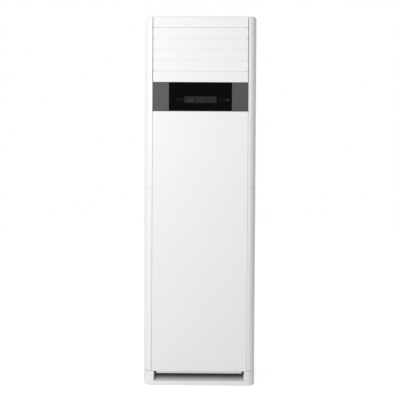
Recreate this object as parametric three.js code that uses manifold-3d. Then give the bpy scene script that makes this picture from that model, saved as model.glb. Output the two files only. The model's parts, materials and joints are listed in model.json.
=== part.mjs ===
// Floor standing air conditioner: a tall cabinet with a hinged lower door, a display band,
// louvred air outlet, side intakes, centrifugal blower, slanted coil and controls.
// Millimetres, +Z up, front faces -Y, origin on the floor below the middle of the cabinet.

import * as THREE from 'three';
import { mergeVertices } from 'three/addons/utils/BufferGeometryUtils.js';
import Module from 'manifold-3d';

const wasm = await Module();
wasm.setup();

// ---- driving dimensions -------------------------------------------------------------------

// Cabinet
const cabinetWidth = 540;
const cabinetDepth = 379;
const cabinetHeight = 1776;
const cornerWidth = 38; // rounded front corner, across the front
const cornerDepth = 50; // rounded front corner, along the side
const columnWidth = 39.5; // outer edge of the cabinet to the seam beside the door
const columnWall = 3;
const columnReturn = 24; // flange that a column turns inwards beside the door
const columnSideDepth = 72; // front of the cabinet to the rear edge of a column
const columnSplitHeight = 953;
const plinthHeight = 70;
const topCoverHeight = 6;
const topCoverWall = 2;
const mouldingWall = 3;
const sheetThickness = 1.2;
const sideInset = 1.5; // side panels lie this far inside the columns
const rearSplitHeight = 270; // top of the rear connection plate

// Gaps
const seat = 0.3; // between pieces that rest on each other
const seam = 0.6; // visible seam between fixed mouldings
const doorSeam = 2; // beside the door
const louvreSideGap = 3; // beside the louvre blades and the strip below them
const holeClearance = 0.3; // round a pin, radially

// Plinth recess and base pan
const plinthSlotMargin = 12; // the slot is this much wider than the door's lip, each side
const plinthSlotBottom = 22;
const plinthScoopDepth = 50; // front of the cabinet to the rear of the recess
const plinthScoopGap = 4; // top of the recess below the top of the plinth
const panFlange = 30;
const panThickness = 1.5;

// Door
const doorReturn = 20;
const doorEdgeRadius = 7;
const doorPinRadius = 2.5;
const doorLipInset = 22.5; // end of the lip to the end of the door
const doorLipHeight = 13;
const doorLipSetback = 12;
const doorRibThickness = 2;
const doorRibs = 4;

// Display band
const displayHeight = 137;
const displayReturn = 22;
const glassWidth = 302;
const glassThickness = 3;
const lcdWidth = 154;
const lcdHeight = 33;
const lcdRise = 37; // lower edge of the window above the top of the door
const receiverRadius = 7;
const receiverX = 132;
const displayBoardThickness = 1.6;
const displayBoardHeight = 70;

// Air outlet
const capHeight = 49.4; // white strip above the louvres
const stripHeight = 51; // white strip between the display and the louvres
const louvreCount = 4;
const louvrePitch = 52.5;
const louvreSeam = 2;
const louvreThickness = 7;
const louvreEdgeThickness = 3.5;
const louvrePinRadius = 2.5;
const louvreLipThickness = 1.5;
const louvreLipOverlap = 2.5; // how far a blade's lip laps the blade below it
const louvreLipGap = 0.8; // between the lip and that blade
const louvreLipInset = 1.5; // between the end of the lip and the outlet jamb
const crankRadius = 14;
const crankRestAngle = -40; // degrees below straight back, at rest
const crankThickness = 3;
const crankEyeRadius = 4;
const crankPinRadius = 2;
const crankWallGap = 1.5; // between a crank's eye and the column in front of it
const louvreMotorY = -138;
const stepperRadius = 14;
const stepperLength = 15;
const stepperShaftRadius = 2.5;
const outletFrameDepth = 96; // front of the cabinet to the rear of the outlet frame
const jambSetback = 34; // front of the cabinet to the front edge of the outlet jambs
const ductWall = 16;
const ductCornerRadius = 110;
const ductRise = 78; // lower end of the duct above the top of the door

// Vertical vanes
const vaneCount = 7;
const vaneSideGap = 47.5; // axis of the outer vanes to the side of the outlet
const vaneChord = 44;
const vaneThickness = 2.4;
const vaneY = -126;
const vanePinRadius = 2.5;

// Side intakes
const intakeBottomHeight = 105;
const intakeTopHeight = 850;
const intakeLength = 190; // along the side, from the rear edge of the column
const intakeDepth = 16;
const intakeFrame = 12;
const intakeSlatPitch = 25;
const intakeSlatThickness = 2;
const intakeColumnShare = 34; // how much of the column's side belongs to the intake
const filterThickness = 4;
const filterRows = 6;

// Blower
const blowerHeight = 400; // centre of the wheel above the floor
const wheelGap = 14; // round the wheel at the start of the spiral
const wheelWidth = 128;
const wheelBlades = 32;
const wheelBladeChord = 24;
const wheelBladeThickness = 2.2;
const wheelBladeAngle = 35;
const wheelRingThickness = 3;
const wheelHubRadius = 24;
const scrollFrontY = -78;
const scrollDepth = 160;
const scrollWall = 2;
const scrollSideGap = 17.7; // between the spiral's widest point and the filter beside it
const scrollGrowth = 58; // of the spiral's radius over its length
const scrollTongueAngle = 72; // degrees above straight right
const inletInset = 18; // the inlet is this much smaller than the wheel
const bellFlange = 40;
const bellLip = 16;
const motorRadius = 66;
const motorLength = 80;
const motorPlateRadius = 112;
const motorPlateThickness = 3;
const shaftRadius = 6;
const nutRadius = 11;
const nutLength = 10;

// Coil chamber
const deckHeight = 864;
const deckFlange = 18;
const coilSideGap = 32; // left side panel to the fins, for the return bends
const coilThickness = 38;
const coilTopGap = 70; // top of the coil to the duct
const coilTilt = 22; // degrees back from upright
const coilFootY = -134;
const coilPlateThickness = 1.5;
const coilPlateMargin = 6;
const coilBends = 9;
const coilBendRadius = 13;
const coilTubeRadius = 4.5;
const drainPanHeight = 30;
const drainPanMargin = 8;
const drainPanWall = 2.5;
const drainStubRadius = 10;
const drainStubLength = 26;
const suctionPipeRadius = 9.5;
const liquidPipeRadius = 4.8;
const pipeBend = 24;
const pipeLead = 1; // straight end before a bend
const pipeSpacing = 2;
const pipeSideGap = 6.5; // liquid pipe to the filter beside it
const suctionUp = 200; // along the coil
const liquidUp = 90;
const suctionNutRadius = 14;
const liquidNutRadius = 8;
const pipeHoleWidth = 96;
const pipeHoleHeight = 130;
const pipeHoleMargin = 15; // side panel to the hole
const pipeHoleBottom = 110;

// Controls
const crossbarHeight = 40;
const crossbarDepth = 14;
const crossbarThickness = 1.5;
const boxWidth = 270;
const boxHeight = 190;
const boxDepth = 46;
const boxSideGap = 25.5; // column to the box
const boxSheet = 1.2;
const terminalLength = 80;
const terminalHeight = 26;
const terminalDepth = 24;
const terminalPoles = 6;
const capacitorRadius = 19;
const capacitorLength = 70;
const grommetRadius = 13;
const grommetHoleRadius = 5;
const grommetMargin = 77; // side panel to the grommet's axis
const grommetHeight = 150;
const grommetLip = 2;
const boardPitch = 12; // of the parts on the control board

// Wall bracket that stops the cabinet tipping
const bracketWidth = 120;
const bracketHeight = 46;
const bracketThickness = 2;
const bracketSlotWidth = 40;
const bracketSlotHeight = 9;

// ---- places worked out from them ----------------------------------------------------------

const halfWidth = cabinetWidth / 2;
const frontY = -cabinetDepth / 2;
const backY = cabinetDepth / 2;
const columnX = halfWidth - columnWidth;
const columnRearY = frontY + columnSideDepth;
const coverBottom = cabinetHeight - topCoverHeight;
const sideX = halfWidth - sideInset; // outer face of a side panel
const innerX = sideX - sheetThickness - seat; // what stands between the side panels
const backPanelY = backY - bracketThickness - seat; // outer face of the back panel
const backInnerY = backPanelY - sheetThickness - seat; // what stands in front of the back panel
const louvreTop = coverBottom - capHeight;
const louvreBottom = louvreTop - louvreCount * louvrePitch;
const stripBottom = louvreBottom - stripHeight;
const displayTopHeight = stripBottom - seam;
const doorTopHeight = displayTopHeight - displayHeight;
const lcdBottomHeight = doorTopHeight + lcdRise;
const ductBottomHeight = doorTopHeight + ductRise;
const doorLipWidth = 2 * (columnX - doorSeam - doorLipInset);
const plinthSlotWidth = doorLipWidth + 2 * plinthSlotMargin;
const louvreHalf = columnX - louvreSideGap;
const vanePitch = 2 * (louvreHalf - vaneSideGap) / (vaneCount - 1);
const louvreAxisY = frontY + columnWall + crankEyeRadius + crankWallGap;
const pipeHoleX = innerX - pipeHoleMargin - pipeHoleWidth / 2;
const grommetX = -innerX + grommetMargin;
const boxX = -columnX + boxSideGap + boxWidth / 2;

// ---- geometry helpers ---------------------------------------------------------------------

function toSolid(geometry) {
  const bare = geometry.clone();
  bare.deleteAttribute('normal');
  bare.deleteAttribute('uv');
  const merged = mergeVertices(bare, 1e-4);
  return new wasm.Manifold(new wasm.Mesh({
    numProp: 3,
    vertProperties: new Float32Array(merged.attributes.position.array),
    triVerts: new Uint32Array(merged.index.array),
  }));
}

function toGeometry(solid) {
  const mesh = solid.getMesh();
  const indexed = new THREE.BufferGeometry();
  indexed.setAttribute('position', new THREE.BufferAttribute(mesh.vertProperties, 3));
  indexed.setIndex(new THREE.BufferAttribute(mesh.triVerts, 1));
  const flat = indexed.toNonIndexed();
  flat.computeVertexNormals();
  return flat;
}

function join(...pieces) {
  return toGeometry(pieces.map(toSolid).reduce((whole, piece) => whole.add(piece)));
}

function cut(body, ...tools) {
  return toGeometry(tools.map(toSolid).reduce((rest, tool) => rest.subtract(tool), toSolid(body)));
}

function common(a, b) {
  return toGeometry(toSolid(a).intersect(toSolid(b)));
}

function block(x0, x1, y0, y1, z0, z1) {
  const geometry = new THREE.BoxGeometry(x1 - x0, y1 - y0, z1 - z0);
  return geometry.translate((x0 + x1) / 2, (y0 + y1) / 2, (z0 + z1) / 2);
}

function rodX(radius, x0, x1, y, z, sides = 12) {
  const geometry = new THREE.CylinderGeometry(radius, radius, x1 - x0, sides);
  return geometry.rotateZ(Math.PI / 2).translate((x0 + x1) / 2, y, z);
}

function rodY(radius, x, y0, y1, z, sides = 16) {
  const geometry = new THREE.CylinderGeometry(radius, radius, y1 - y0, sides);
  return geometry.translate(x, (y0 + y1) / 2, z);
}

function rodZ(radius, x, y, z0, z1, sides = 12) {
  const geometry = new THREE.CylinderGeometry(radius, radius, z1 - z0, sides);
  return geometry.rotateX(Math.PI / 2).translate(x, y, (z0 + z1) / 2);
}

function extrude(shape, depth, curveSegments = 5) {
  return new THREE.ExtrudeGeometry(shape, { depth, bevelEnabled: false, curveSegments });
}

// Shape drawn in X and Y, raised from z0 to z1
function extrudeZ(shape, z0, z1, curveSegments) {
  return extrude(shape, z1 - z0, curveSegments).translate(0, 0, z0);
}

// Shape drawn in Y and Z, drawn out from x0 to x1
function extrudeX(shape, x0, x1, curveSegments) {
  const turn = new THREE.Matrix4().makeBasis(
    new THREE.Vector3(0, 1, 0), new THREE.Vector3(0, 0, 1), new THREE.Vector3(1, 0, 0));
  return extrude(shape, x1 - x0, curveSegments).applyMatrix4(turn).translate(x0, 0, 0);
}

// Shape drawn in X and Z, drawn out from y0 to y1
function extrudeY(shape, y0, y1, curveSegments) {
  const turn = new THREE.Matrix4().makeBasis(
    new THREE.Vector3(1, 0, 0), new THREE.Vector3(0, 0, 1), new THREE.Vector3(0, -1, 0));
  return extrude(shape, y1 - y0, curveSegments).applyMatrix4(turn).translate(0, y1, 0);
}

function polygon(points) {
  return new THREE.Shape(points.map(([u, v]) => new THREE.Vector2(u, v)));
}

// The same piece for the other side of the cabinet
function mirrored(geometry) {
  const flipped = (geometry.index ? geometry.toNonIndexed() : geometry.clone()).scale(-1, 1, 1);
  const position = flipped.attributes.position;
  for (let i = 0; i < position.count; i += 3) {
    const a = new THREE.Vector3().fromBufferAttribute(position, i + 1);
    const b = new THREE.Vector3().fromBufferAttribute(position, i + 2);
    position.setXYZ(i + 1, b.x, b.y, b.z);
    position.setXYZ(i + 2, a.x, a.y, a.z);
  }
  flipped.computeVertexNormals();
  return flipped;
}

// Round solid about a line along Y, from a closed profile of [radius, y] points
function turned(profile, x, z, sides = 32) {
  const points = profile.map(([r, y]) => new THREE.Vector2(r, y));
  points.push(points[0].clone());
  return new THREE.LatheGeometry(points, sides).translate(x, 0, z);
}

// ---- materials ----------------------------------------------------------------------------

function finish(color, roughness, metalness = 0) {
  return new THREE.MeshStandardMaterial({ color, roughness, metalness });
}

const whitePlastic = () => finish(0xf3f3f1, 0.4);
const whiteSteel = () => finish(0xeeeeec, 0.45, 0.1);
const greyPlastic = () => finish(0x5b5b5d, 0.35);
const blackGlass = () => finish(0x0b0b0c, 0.06);
const darkPlastic = () => finish(0x2a2a2c, 0.5);
const zincSteel = () => finish(0xb9bcbe, 0.4, 0.9);
const coilAluminium = () => finish(0xc9ccd0, 0.35, 0.9);
const copper = () => finish(0xb8693f, 0.35, 0.95);
const foamWhite = () => finish(0xe9e9e6, 0.9);
const rubberBlack = () => finish(0x1b1b1b, 0.8);
const boardGreen = () => finish(0x1f5a3a, 0.6);

const cabinet = new THREE.Group();

function addPart(name, geometry, material, parent = cabinet) {
  const mesh = new THREE.Mesh(geometry, material);
  mesh.name = name;
  parent.add(mesh);
  return mesh;
}

// ---- casing -------------------------------------------------------------------------------

// Outline of the front of the cabinet seen from above, with both rounded corners
function frontOutline(inset, rearY) {
  const width = cornerWidth - inset;
  const depth = cornerDepth - inset;
  const cornerX = halfWidth - cornerWidth;
  const cornerY = frontY + cornerDepth;
  const shape = new THREE.Shape();
  shape.moveTo(-halfWidth + inset, rearY);
  shape.lineTo(-halfWidth + inset, cornerY);
  shape.absellipse(-cornerX, cornerY, width, depth, Math.PI, 1.5 * Math.PI, false, 0);
  shape.lineTo(cornerX, frontY + inset);
  shape.absellipse(cornerX, cornerY, width, depth, -Math.PI / 2, 0, false, 0);
  shape.lineTo(halfWidth - inset, rearY);
  return shape;
}

// Section of the right column seen from above: flange, rounded corner, side
function columnSection() {
  const cornerX = halfWidth - cornerWidth;
  const cornerY = frontY + cornerDepth;
  const shape = new THREE.Shape();
  shape.moveTo(columnX, frontY + columnReturn);
  shape.lineTo(columnX, frontY);
  shape.lineTo(cornerX, frontY);
  shape.absellipse(cornerX, cornerY, cornerWidth, cornerDepth, -Math.PI / 2, 0, false, 0);
  shape.lineTo(halfWidth, columnRearY);
  shape.lineTo(halfWidth - columnWall, columnRearY);
  shape.lineTo(halfWidth - columnWall, cornerY);
  shape.absellipse(cornerX, cornerY, cornerWidth - columnWall, cornerDepth - columnWall,
    0, -Math.PI / 2, true, 0);
  shape.lineTo(columnX + columnWall, frontY + columnWall);
  shape.lineTo(columnX + columnWall, frontY + columnReturn);
  return shape;
}

function plinth() {
  const wall = mouldingWall;
  const half = plinthSlotWidth / 2;
  const scoopTop = plinthHeight - plinthScoopGap;
  const shell = cut(
    extrudeZ(frontOutline(0, columnRearY), 0, plinthHeight),
    extrudeZ(frontOutline(wall, columnRearY + wall), -wall, plinthHeight + wall));
  const opened = cut(shell,
    block(-half, half, frontY - wall, frontY + 2 * wall, plinthSlotBottom, plinthHeight + wall));
  // Curved guide that rises from the front edge of the slot to the rear of the recess
  const scoop = (offset) => new THREE.EllipseCurve(frontY + wall / 2, scoopTop,
    plinthScoopDepth - wall / 2 + offset, scoopTop - plinthSlotBottom + offset, -Math.PI / 2, 0)
    .getPoints(8).map(({ x, y }) => [x, y]);
  const floor = extrudeX(polygon([...scoop(wall), ...scoop(0).reverse()]), -half - wall, half + wall);
  const cheekOutline = polygon([...scoop(wall), [frontY + wall / 2, scoopTop]]);
  const cheek = extrudeX(cheekOutline, half, half + wall);
  return join(opened, floor, cheek, mirrored(cheek));
}

function basePan() {
  const frontEdge = columnRearY + seat;
  const outer = block(-innerX, innerX, frontEdge, backInnerY, 0, panFlange);
  const inner = block(-innerX + panThickness, innerX - panThickness,
    frontEdge + panThickness, backInnerY - panThickness, panThickness, panFlange + panThickness);
  return cut(outer, inner);
}

function topCover() {
  const outer = extrudeZ(frontOutline(0, backY), coverBottom, cabinetHeight);
  const inner = extrudeZ(frontOutline(mouldingWall, backY - mouldingWall),
    coverBottom - topCoverWall, cabinetHeight - topCoverWall);
  return cut(outer, inner);
}

function backPanel() {
  return block(-innerX, innerX, backPanelY - sheetThickness, backPanelY,
    rearSplitHeight + seat / 2, coverBottom - seat);
}

// Plate below the back panel, with the hole for the pipes and the one for the cord
function connectionPlate() {
  const inside = backPanelY - sheetThickness;
  const sheet = block(-innerX, innerX, inside, backPanelY, seat, rearSplitHeight - seat / 2);
  const pipeHole = block(pipeHoleX - pipeHoleWidth / 2, pipeHoleX + pipeHoleWidth / 2,
    inside - 1, backPanelY + 1, pipeHoleBottom, pipeHoleBottom + pipeHoleHeight);
  const cordHole = rodY(grommetRadius + holeClearance, grommetX,
    inside - 1, backPanelY + 1, grommetHeight);
  return cut(sheet, pipeHole, cordHole);
}

const intakeFrontY = frontY + cornerDepth - (intakeColumnShare - (columnSideDepth - cornerDepth));
const intakeRearY = columnRearY + intakeLength;

function sidePanel() {
  const sheet = block(sideX - sheetThickness, sideX, columnRearY + seat, backY, seat,
    coverBottom - seat);
  const window = block(sideX - 2 * sheetThickness, sideX + sheetThickness,
    columnRearY - sheetThickness, intakeRearY - intakeFrame,
    intakeBottomHeight + intakeFrame, intakeTopHeight - intakeFrame);
  return cut(sheet, window);
}

function columnLower() {
  const bottom = plinthHeight + seam;
  const whole = extrudeZ(columnSection(), bottom, columnSplitHeight - seam / 2);
  const intakeNotch = block(columnX + columnWidth / 2, halfWidth + columnWall,
    intakeFrontY - seam, columnRearY + columnWall,
    intakeBottomHeight - seam, intakeTopHeight + seam);
  return cut(whole, intakeNotch);
}

function columnUpper(withLouvrePins) {
  const whole = extrudeZ(columnSection(), columnSplitHeight + seam / 2, coverBottom - seat);
  const x0 = columnX - columnWall;
  const x1 = columnX + 2 * columnWall;
  const holes = withLouvrePins.map(([radius, y, z]) => rodX(radius, x0, x1, y, z));
  return cut(whole, ...holes);
}

const louvreHeights = Array.from({ length: louvreCount },
  (_, i) => louvreTop - (i + 0.5) * louvrePitch);
const doorAxisY = frontY + doorEdgeRadius;
const doorAxisZ = doorTopHeight - seam - doorEdgeRadius;

function addCasing() {
  addPart('base_pan', basePan(), zincSteel());
  addPart('front_plinth', plinth(), whitePlastic());
  addPart('back_panel', backPanel(), whiteSteel());
  addPart('connection_plate', connectionPlate(), whiteSteel());
  addPart('right_side_panel', sidePanel(), whiteSteel());
  addPart('left_side_panel', mirrored(sidePanel()), whiteSteel());
  addPart('top_cover', topCover(), whitePlastic());
  addPart('right_column_lower', columnLower(), whitePlastic());
  addPart('left_column_lower', mirrored(columnLower()), whitePlastic());
  const holes = louvreHeights.map((z) => [louvrePinRadius + holeClearance, louvreAxisY, z]);
  holes.push([doorPinRadius + holeClearance, doorAxisY, doorAxisZ]);
  addPart('right_column_upper', columnUpper(holes), whitePlastic());
  addPart('left_column_upper', mirrored(columnUpper(holes)), whitePlastic());
}

// ---- door ---------------------------------------------------------------------------------

function door() {
  const half = columnX - doorSeam;
  const bottom = plinthHeight + seam;
  const top = doorTopHeight - seam;
  const wall = mouldingWall;
  // Side section of the skin with its rounded top edge, centred on the hinge line
  const section = new THREE.Shape();
  section.moveTo(frontY, bottom);
  section.lineTo(frontY, doorAxisZ);
  section.absarc(doorAxisY, doorAxisZ, doorEdgeRadius, Math.PI, Math.PI / 2, true);
  section.lineTo(frontY + doorReturn, top);
  section.lineTo(frontY + doorReturn, bottom);
  const body = extrudeX(section, -half, half, 3);
  const hollow = block(-half + wall, half - wall, frontY + wall, frontY + 2 * doorReturn,
    bottom + wall, doorAxisZ - doorEdgeRadius);
  const shell = cut(body, hollow);
  const lip = extrudeX(polygon([
    [frontY + wall / 2, bottom],
    [frontY + doorLipSetback - wall, bottom - doorLipHeight],
    [frontY + doorLipSetback, bottom - doorLipHeight],
    [frontY + 2 * wall, bottom + wall / 2],
    [frontY + wall / 2, bottom + wall / 2],
  ]), -doorLipWidth / 2, doorLipWidth / 2);
  const ribs = Array.from({ length: doorRibs }, (_, i) => {
    const z = bottom + (i + 1) * (doorAxisZ - bottom) / (doorRibs + 1);
    return block(-half + wall / 2, half - wall / 2, frontY + wall / 2, frontY + doorReturn / 2,
      z - doorRibThickness / 2, z + doorRibThickness / 2);
  });
  const pin = rodX(doorPinRadius, half - wall, columnX + columnWall, doorAxisY, doorAxisZ);
  return join(shell, lip, ...ribs, pin, mirrored(pin));
}

// ---- display band -------------------------------------------------------------------------

const displayHalf = columnX - seam;
const displayBottom = doorTopHeight + seam;
const glassFrontY = frontY + seat;
const boardY = glassFrontY + glassThickness + mouldingWall + 2 * seat;

function displayBezel() {
  const wall = mouldingWall;
  const outer = block(-displayHalf, displayHalf, frontY, frontY + displayReturn,
    displayBottom, displayTopHeight);
  const hollow = block(-displayHalf + wall, displayHalf - wall,
    glassFrontY + glassThickness + seat + wall, frontY + displayReturn + wall,
    displayBottom + wall, displayTopHeight - wall);
  const glassPocket = block(-glassWidth / 2 - seat, glassWidth / 2 + seat, frontY - wall,
    glassFrontY + glassThickness + seat, displayBottom - wall, displayTopHeight + wall);
  const boardWindow = block(-lcdWidth / 2, lcdWidth / 2, frontY - wall, frontY + displayReturn,
    lcdBottomHeight, lcdBottomHeight + lcdHeight);
  const receiverHole = rodY(receiverRadius + seat, receiverX, frontY, frontY + displayReturn,
    lcdBottomHeight + lcdHeight / 2);
  return cut(outer, hollow, glassPocket, boardWindow, receiverHole);
}

function displayGlass() {
  const plate = block(-glassWidth / 2, glassWidth / 2, glassFrontY, glassFrontY + glassThickness,
    displayBottom + seat, displayTopHeight - seat);
  const window = block(-lcdWidth / 2, lcdWidth / 2, frontY - glassThickness,
    frontY + 2 * glassThickness, lcdBottomHeight, lcdBottomHeight + lcdHeight);
  const hole = rodY(receiverRadius + seat, receiverX, frontY - glassThickness,
    frontY + 2 * glassThickness, lcdBottomHeight + lcdHeight / 2);
  return cut(plate, window, hole);
}

function displayBoard() {
  const middle = lcdBottomHeight + lcdHeight / 2;
  const board = block(-glassWidth / 2, glassWidth / 2, boardY, boardY + displayBoardThickness,
    middle - displayBoardHeight / 2, middle + displayBoardHeight / 2);
  const connector = block(-lcdHeight / 2, lcdHeight / 2, boardY + displayBoardThickness / 2,
    boardY + 4 * displayBoardThickness, middle - displayBoardHeight / 4,
    middle - displayBoardHeight / 8);
  return join(board, connector);
}

function addDisplay() {
  const middle = lcdBottomHeight + lcdHeight / 2;
  addPart('display_bezel', displayBezel(), greyPlastic());
  addPart('display_glass', displayGlass(), blackGlass());
  addPart('lcd_window', block(-lcdWidth / 2 + seat, lcdWidth / 2 - seat, glassFrontY,
    boardY - seat, lcdBottomHeight + seat, lcdBottomHeight + lcdHeight - seat), darkPlastic());
  addPart('receiver_window', rodY(receiverRadius, receiverX, glassFrontY, boardY - seat, middle),
    darkPlastic());
  addPart('display_board', displayBoard(), boardGreen());
}

// ---- air outlet ---------------------------------------------------------------------------

const shelfTop = louvreBottom - louvreSeam / 2;
const capBottom = louvreTop + louvreSeam / 2;
const outletRearY = frontY + outletFrameDepth;
const jambFrontY = frontY + jambSetback;
const vaneXs = Array.from({ length: vaneCount }, (_, i) => (i - (vaneCount - 1) / 2) * vanePitch);
const crankAngle = THREE.MathUtils.degToRad(crankRestAngle);
const crankPinY = crankRadius * Math.cos(crankAngle);
const crankPinZ = crankRadius * Math.sin(crankAngle);
const crankX = columnX + columnWall + 2 * seat + crankThickness / 2; // middle of a blade's crank
const linkX = crankX + crankThickness + seat; // middle of the link bar
const motorCrankX = linkX + crankThickness + seat; // middle of the motor's crank
const louvreMotorZ = (louvreHeights[1] + louvreHeights[2]) / 2;
const stepperX = motorCrankX + crankThickness / 2 + seat; // face of the louvre stepper
const vaneCrankTop = shelfTop - mouldingWall - seat;
const vaneLinkTop = vaneCrankTop - crankThickness - seat;
const vaneLinkBottom = vaneLinkTop - crankThickness;
const vaneStepperTop = vaneCrankTop - crankThickness - seat;

function outletFrame() {
  const wall = mouldingWall;
  const half = louvreHalf;
  const side = block(half - wall, half, jambFrontY, outletRearY, stripBottom, coverBottom - seat);
  const shelf = (z0) => block(-half, half, frontY + wall / 2, outletRearY, z0, z0 + wall);
  const strip = block(-half, half, frontY, frontY + wall, stripBottom, shelfTop);
  const cap = block(-half, half, frontY, frontY + wall, capBottom, coverBottom - seat);
  const stepperBottom = louvreMotorZ - stepperRadius - seat;
  const ledge = block(half - wall, stepperX + stepperLength + seat,
    louvreMotorY - stepperRadius, louvreMotorY + stepperRadius,
    stepperBottom - wall, stepperBottom);
  const body = join(side, mirrored(side), shelf(stripBottom), shelf(shelfTop - wall),
    shelf(capBottom), shelf(coverBottom - seat - wall), strip, cap, mirrored(ledge));
  const holes = vaneXs.flatMap((x) => [shelfTop - wall, capBottom].map(
    (z0) => rodZ(vanePinRadius + holeClearance, x, vaneY, z0 - wall, z0 + 2 * wall, 8)));
  return cut(body, ...holes);
}

// Closed blade: a shallow bow with thin edges, a pin at each end and a crank on the left.
// The lip along its lower edge lies behind the blade below it.
function louvreBlade(withLip) {
  const halfHeight = (louvrePitch - louvreSeam) / 2;
  const face = frontY + seat - louvreAxisY;
  const section = new THREE.Shape();
  section.moveTo(face, -halfHeight);
  section.lineTo(face, halfHeight);
  section.lineTo(face + louvreEdgeThickness, halfHeight);
  section.quadraticCurveTo(2 * louvreThickness - louvreEdgeThickness + face, 0,
    face + louvreEdgeThickness, -halfHeight);
  const blade = extrudeX(section, -louvreHalf, louvreHalf, 6);
  const left = rodX(louvrePinRadius, -crankX, -louvreHalf + seat, 0, 0);
  const right = rodX(louvrePinRadius, louvreHalf - seat, columnX + columnWall, 0, 0);
  const pin = rodX(crankPinRadius, -linkX - crankThickness / 2, -crankX, crankPinY, crankPinZ, 8);
  const pieces = [blade, left, right, crankArm().translate(-crankX, 0, 0), pin];
  if (withLip) {
    const lipEnd = louvreHalf - mouldingWall - louvreLipInset;
    const lipFace = face + louvreEdgeThickness + louvreLipGap;
    const bottom = -halfHeight - louvreSeam - louvreLipOverlap;
    pieces.push(
      block(-lipEnd, lipEnd, lipFace, lipFace + louvreLipThickness,
        bottom, -halfHeight + louvreThickness),
      block(-lipEnd, lipEnd, face + louvreEdgeThickness / 2, lipFace + louvreLipThickness / 2,
        -halfHeight + louvreEdgeThickness / 2, -halfHeight + louvreEdgeThickness));
  }
  return join(...pieces);
}

// Flat lever about X, from its shaft to the pin that the link bar takes
function crankArm() {
  const x0 = -crankThickness / 2;
  const x1 = crankThickness / 2;
  const web = block(x0, x1, 0, crankRadius, -crankEyeRadius * 0.7, crankEyeRadius * 0.7);
  return join(rodX(crankEyeRadius, x0, x1, 0, 0, 10), web.rotateX(crankAngle),
    rodX(crankEyeRadius, x0, x1, crankPinY, crankPinZ, 10));
}

function louvreLink() {
  const x0 = -linkX - crankThickness / 2;
  const x1 = -linkX + crankThickness / 2;
  const y = louvreAxisY + crankPinY;
  const zs = louvreHeights.map((z) => z + crankPinZ);
  const bar = block(x0, x1, y - crankEyeRadius, y + crankEyeRadius,
    Math.min(...zs) - crankEyeRadius, Math.max(...zs) + crankEyeRadius);
  const armY = louvreMotorY + crankPinY;
  const armZ = louvreMotorZ + crankPinZ;
  const arm = block(x0, x1, y, armY + crankEyeRadius, armZ - crankEyeRadius, armZ + crankEyeRadius);
  const hole = (hy, hz) => rodX(crankPinRadius + holeClearance, x0 - 1, x1 + 1, hy, hz, 8);
  return cut(join(bar, arm), ...zs.map((z) => hole(y, z)), hole(armY, armZ));
}

function louvreCrank() {
  const pin = rodX(crankPinRadius, -motorCrankX, -linkX + crankThickness / 2,
    crankPinY, crankPinZ, 8);
  const bore = rodX(stepperShaftRadius + holeClearance, -crankThickness, crankThickness, 0, 0);
  return join(cut(crankArm(), bore).translate(-motorCrankX, 0, 0), pin);
}

// Small stepper motor about its shaft, which points up before it is turned
function stepper(shaftLength) {
  const can = rodZ(stepperRadius, 0, 0, -stepperLength, 0, 16);
  const shaft = rodZ(stepperShaftRadius, 0, 0, -1, shaftLength);
  return join(can, shaft);
}

function vane() {
  const half = vaneChord / 2;
  const top = capBottom - seat;
  const bottom = shelfTop + seat;
  const blade = block(-vaneThickness / 2, vaneThickness / 2, -half, half, bottom, top);
  const upperPin = rodZ(vanePinRadius, 0, 0, top - 1, capBottom + mouldingWall, 8);
  const lowerPin = rodZ(vanePinRadius, 0, 0, vaneCrankTop - crankThickness, bottom + 1, 8);
  const lever = block(-crankEyeRadius * 0.7, crankEyeRadius * 0.7, 0, crankRadius,
    vaneCrankTop - crankThickness, vaneCrankTop);
  const eye = rodZ(crankEyeRadius, 0, crankRadius, vaneCrankTop - crankThickness,
    vaneCrankTop, 10);
  const pin = rodZ(crankPinRadius, 0, crankRadius, vaneLinkBottom,
    vaneCrankTop - crankThickness / 2, 8);
  return join(blade, upperPin, lowerPin, lever, eye, pin);
}

function vaneLink() {
  const y = vaneY + crankRadius;
  const reach = vaneXs[vaneCount - 1] + crankEyeRadius;
  const bar = block(-reach, reach, y - crankEyeRadius, y + crankEyeRadius,
    vaneLinkBottom, vaneLinkTop);
  return cut(bar, ...vaneXs.map((x) => rodZ(crankPinRadius + holeClearance, x, y,
    vaneLinkBottom - 1, vaneLinkTop + 1, 8)));
}

// Insulated turn that carries the air from the coil forwards to the vanes
function outletDuct() {
  const frontEdge = columnRearY + seat;
  const rear = backInnerY;
  const top = coverBottom - seat;
  const inner = top - ductWall;
  const section = new THREE.Shape();
  section.moveTo(rear, ductBottomHeight);
  section.lineTo(rear, top);
  section.lineTo(frontEdge, top);
  section.lineTo(frontEdge, inner);
  section.lineTo(rear - ductWall - ductCornerRadius, inner);
  section.absarc(rear - ductWall - ductCornerRadius, inner - ductCornerRadius, ductCornerRadius,
    Math.PI / 2, 0, true);
  section.lineTo(rear - ductWall, ductBottomHeight);
  const turn = extrudeX(section, -innerX, innerX, 5);
  const frameClear = block(-louvreHalf - seat, louvreHalf + seat, frontEdge - 1,
    outletRearY + seat, inner - 1, top + 1);
  const cheek = block(innerX - ductWall, innerX, frontEdge, rear - ductWall / 2,
    ductBottomHeight, top - ductWall / 2);
  return cut(join(turn, cheek, mirrored(cheek)), frameClear);
}

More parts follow.
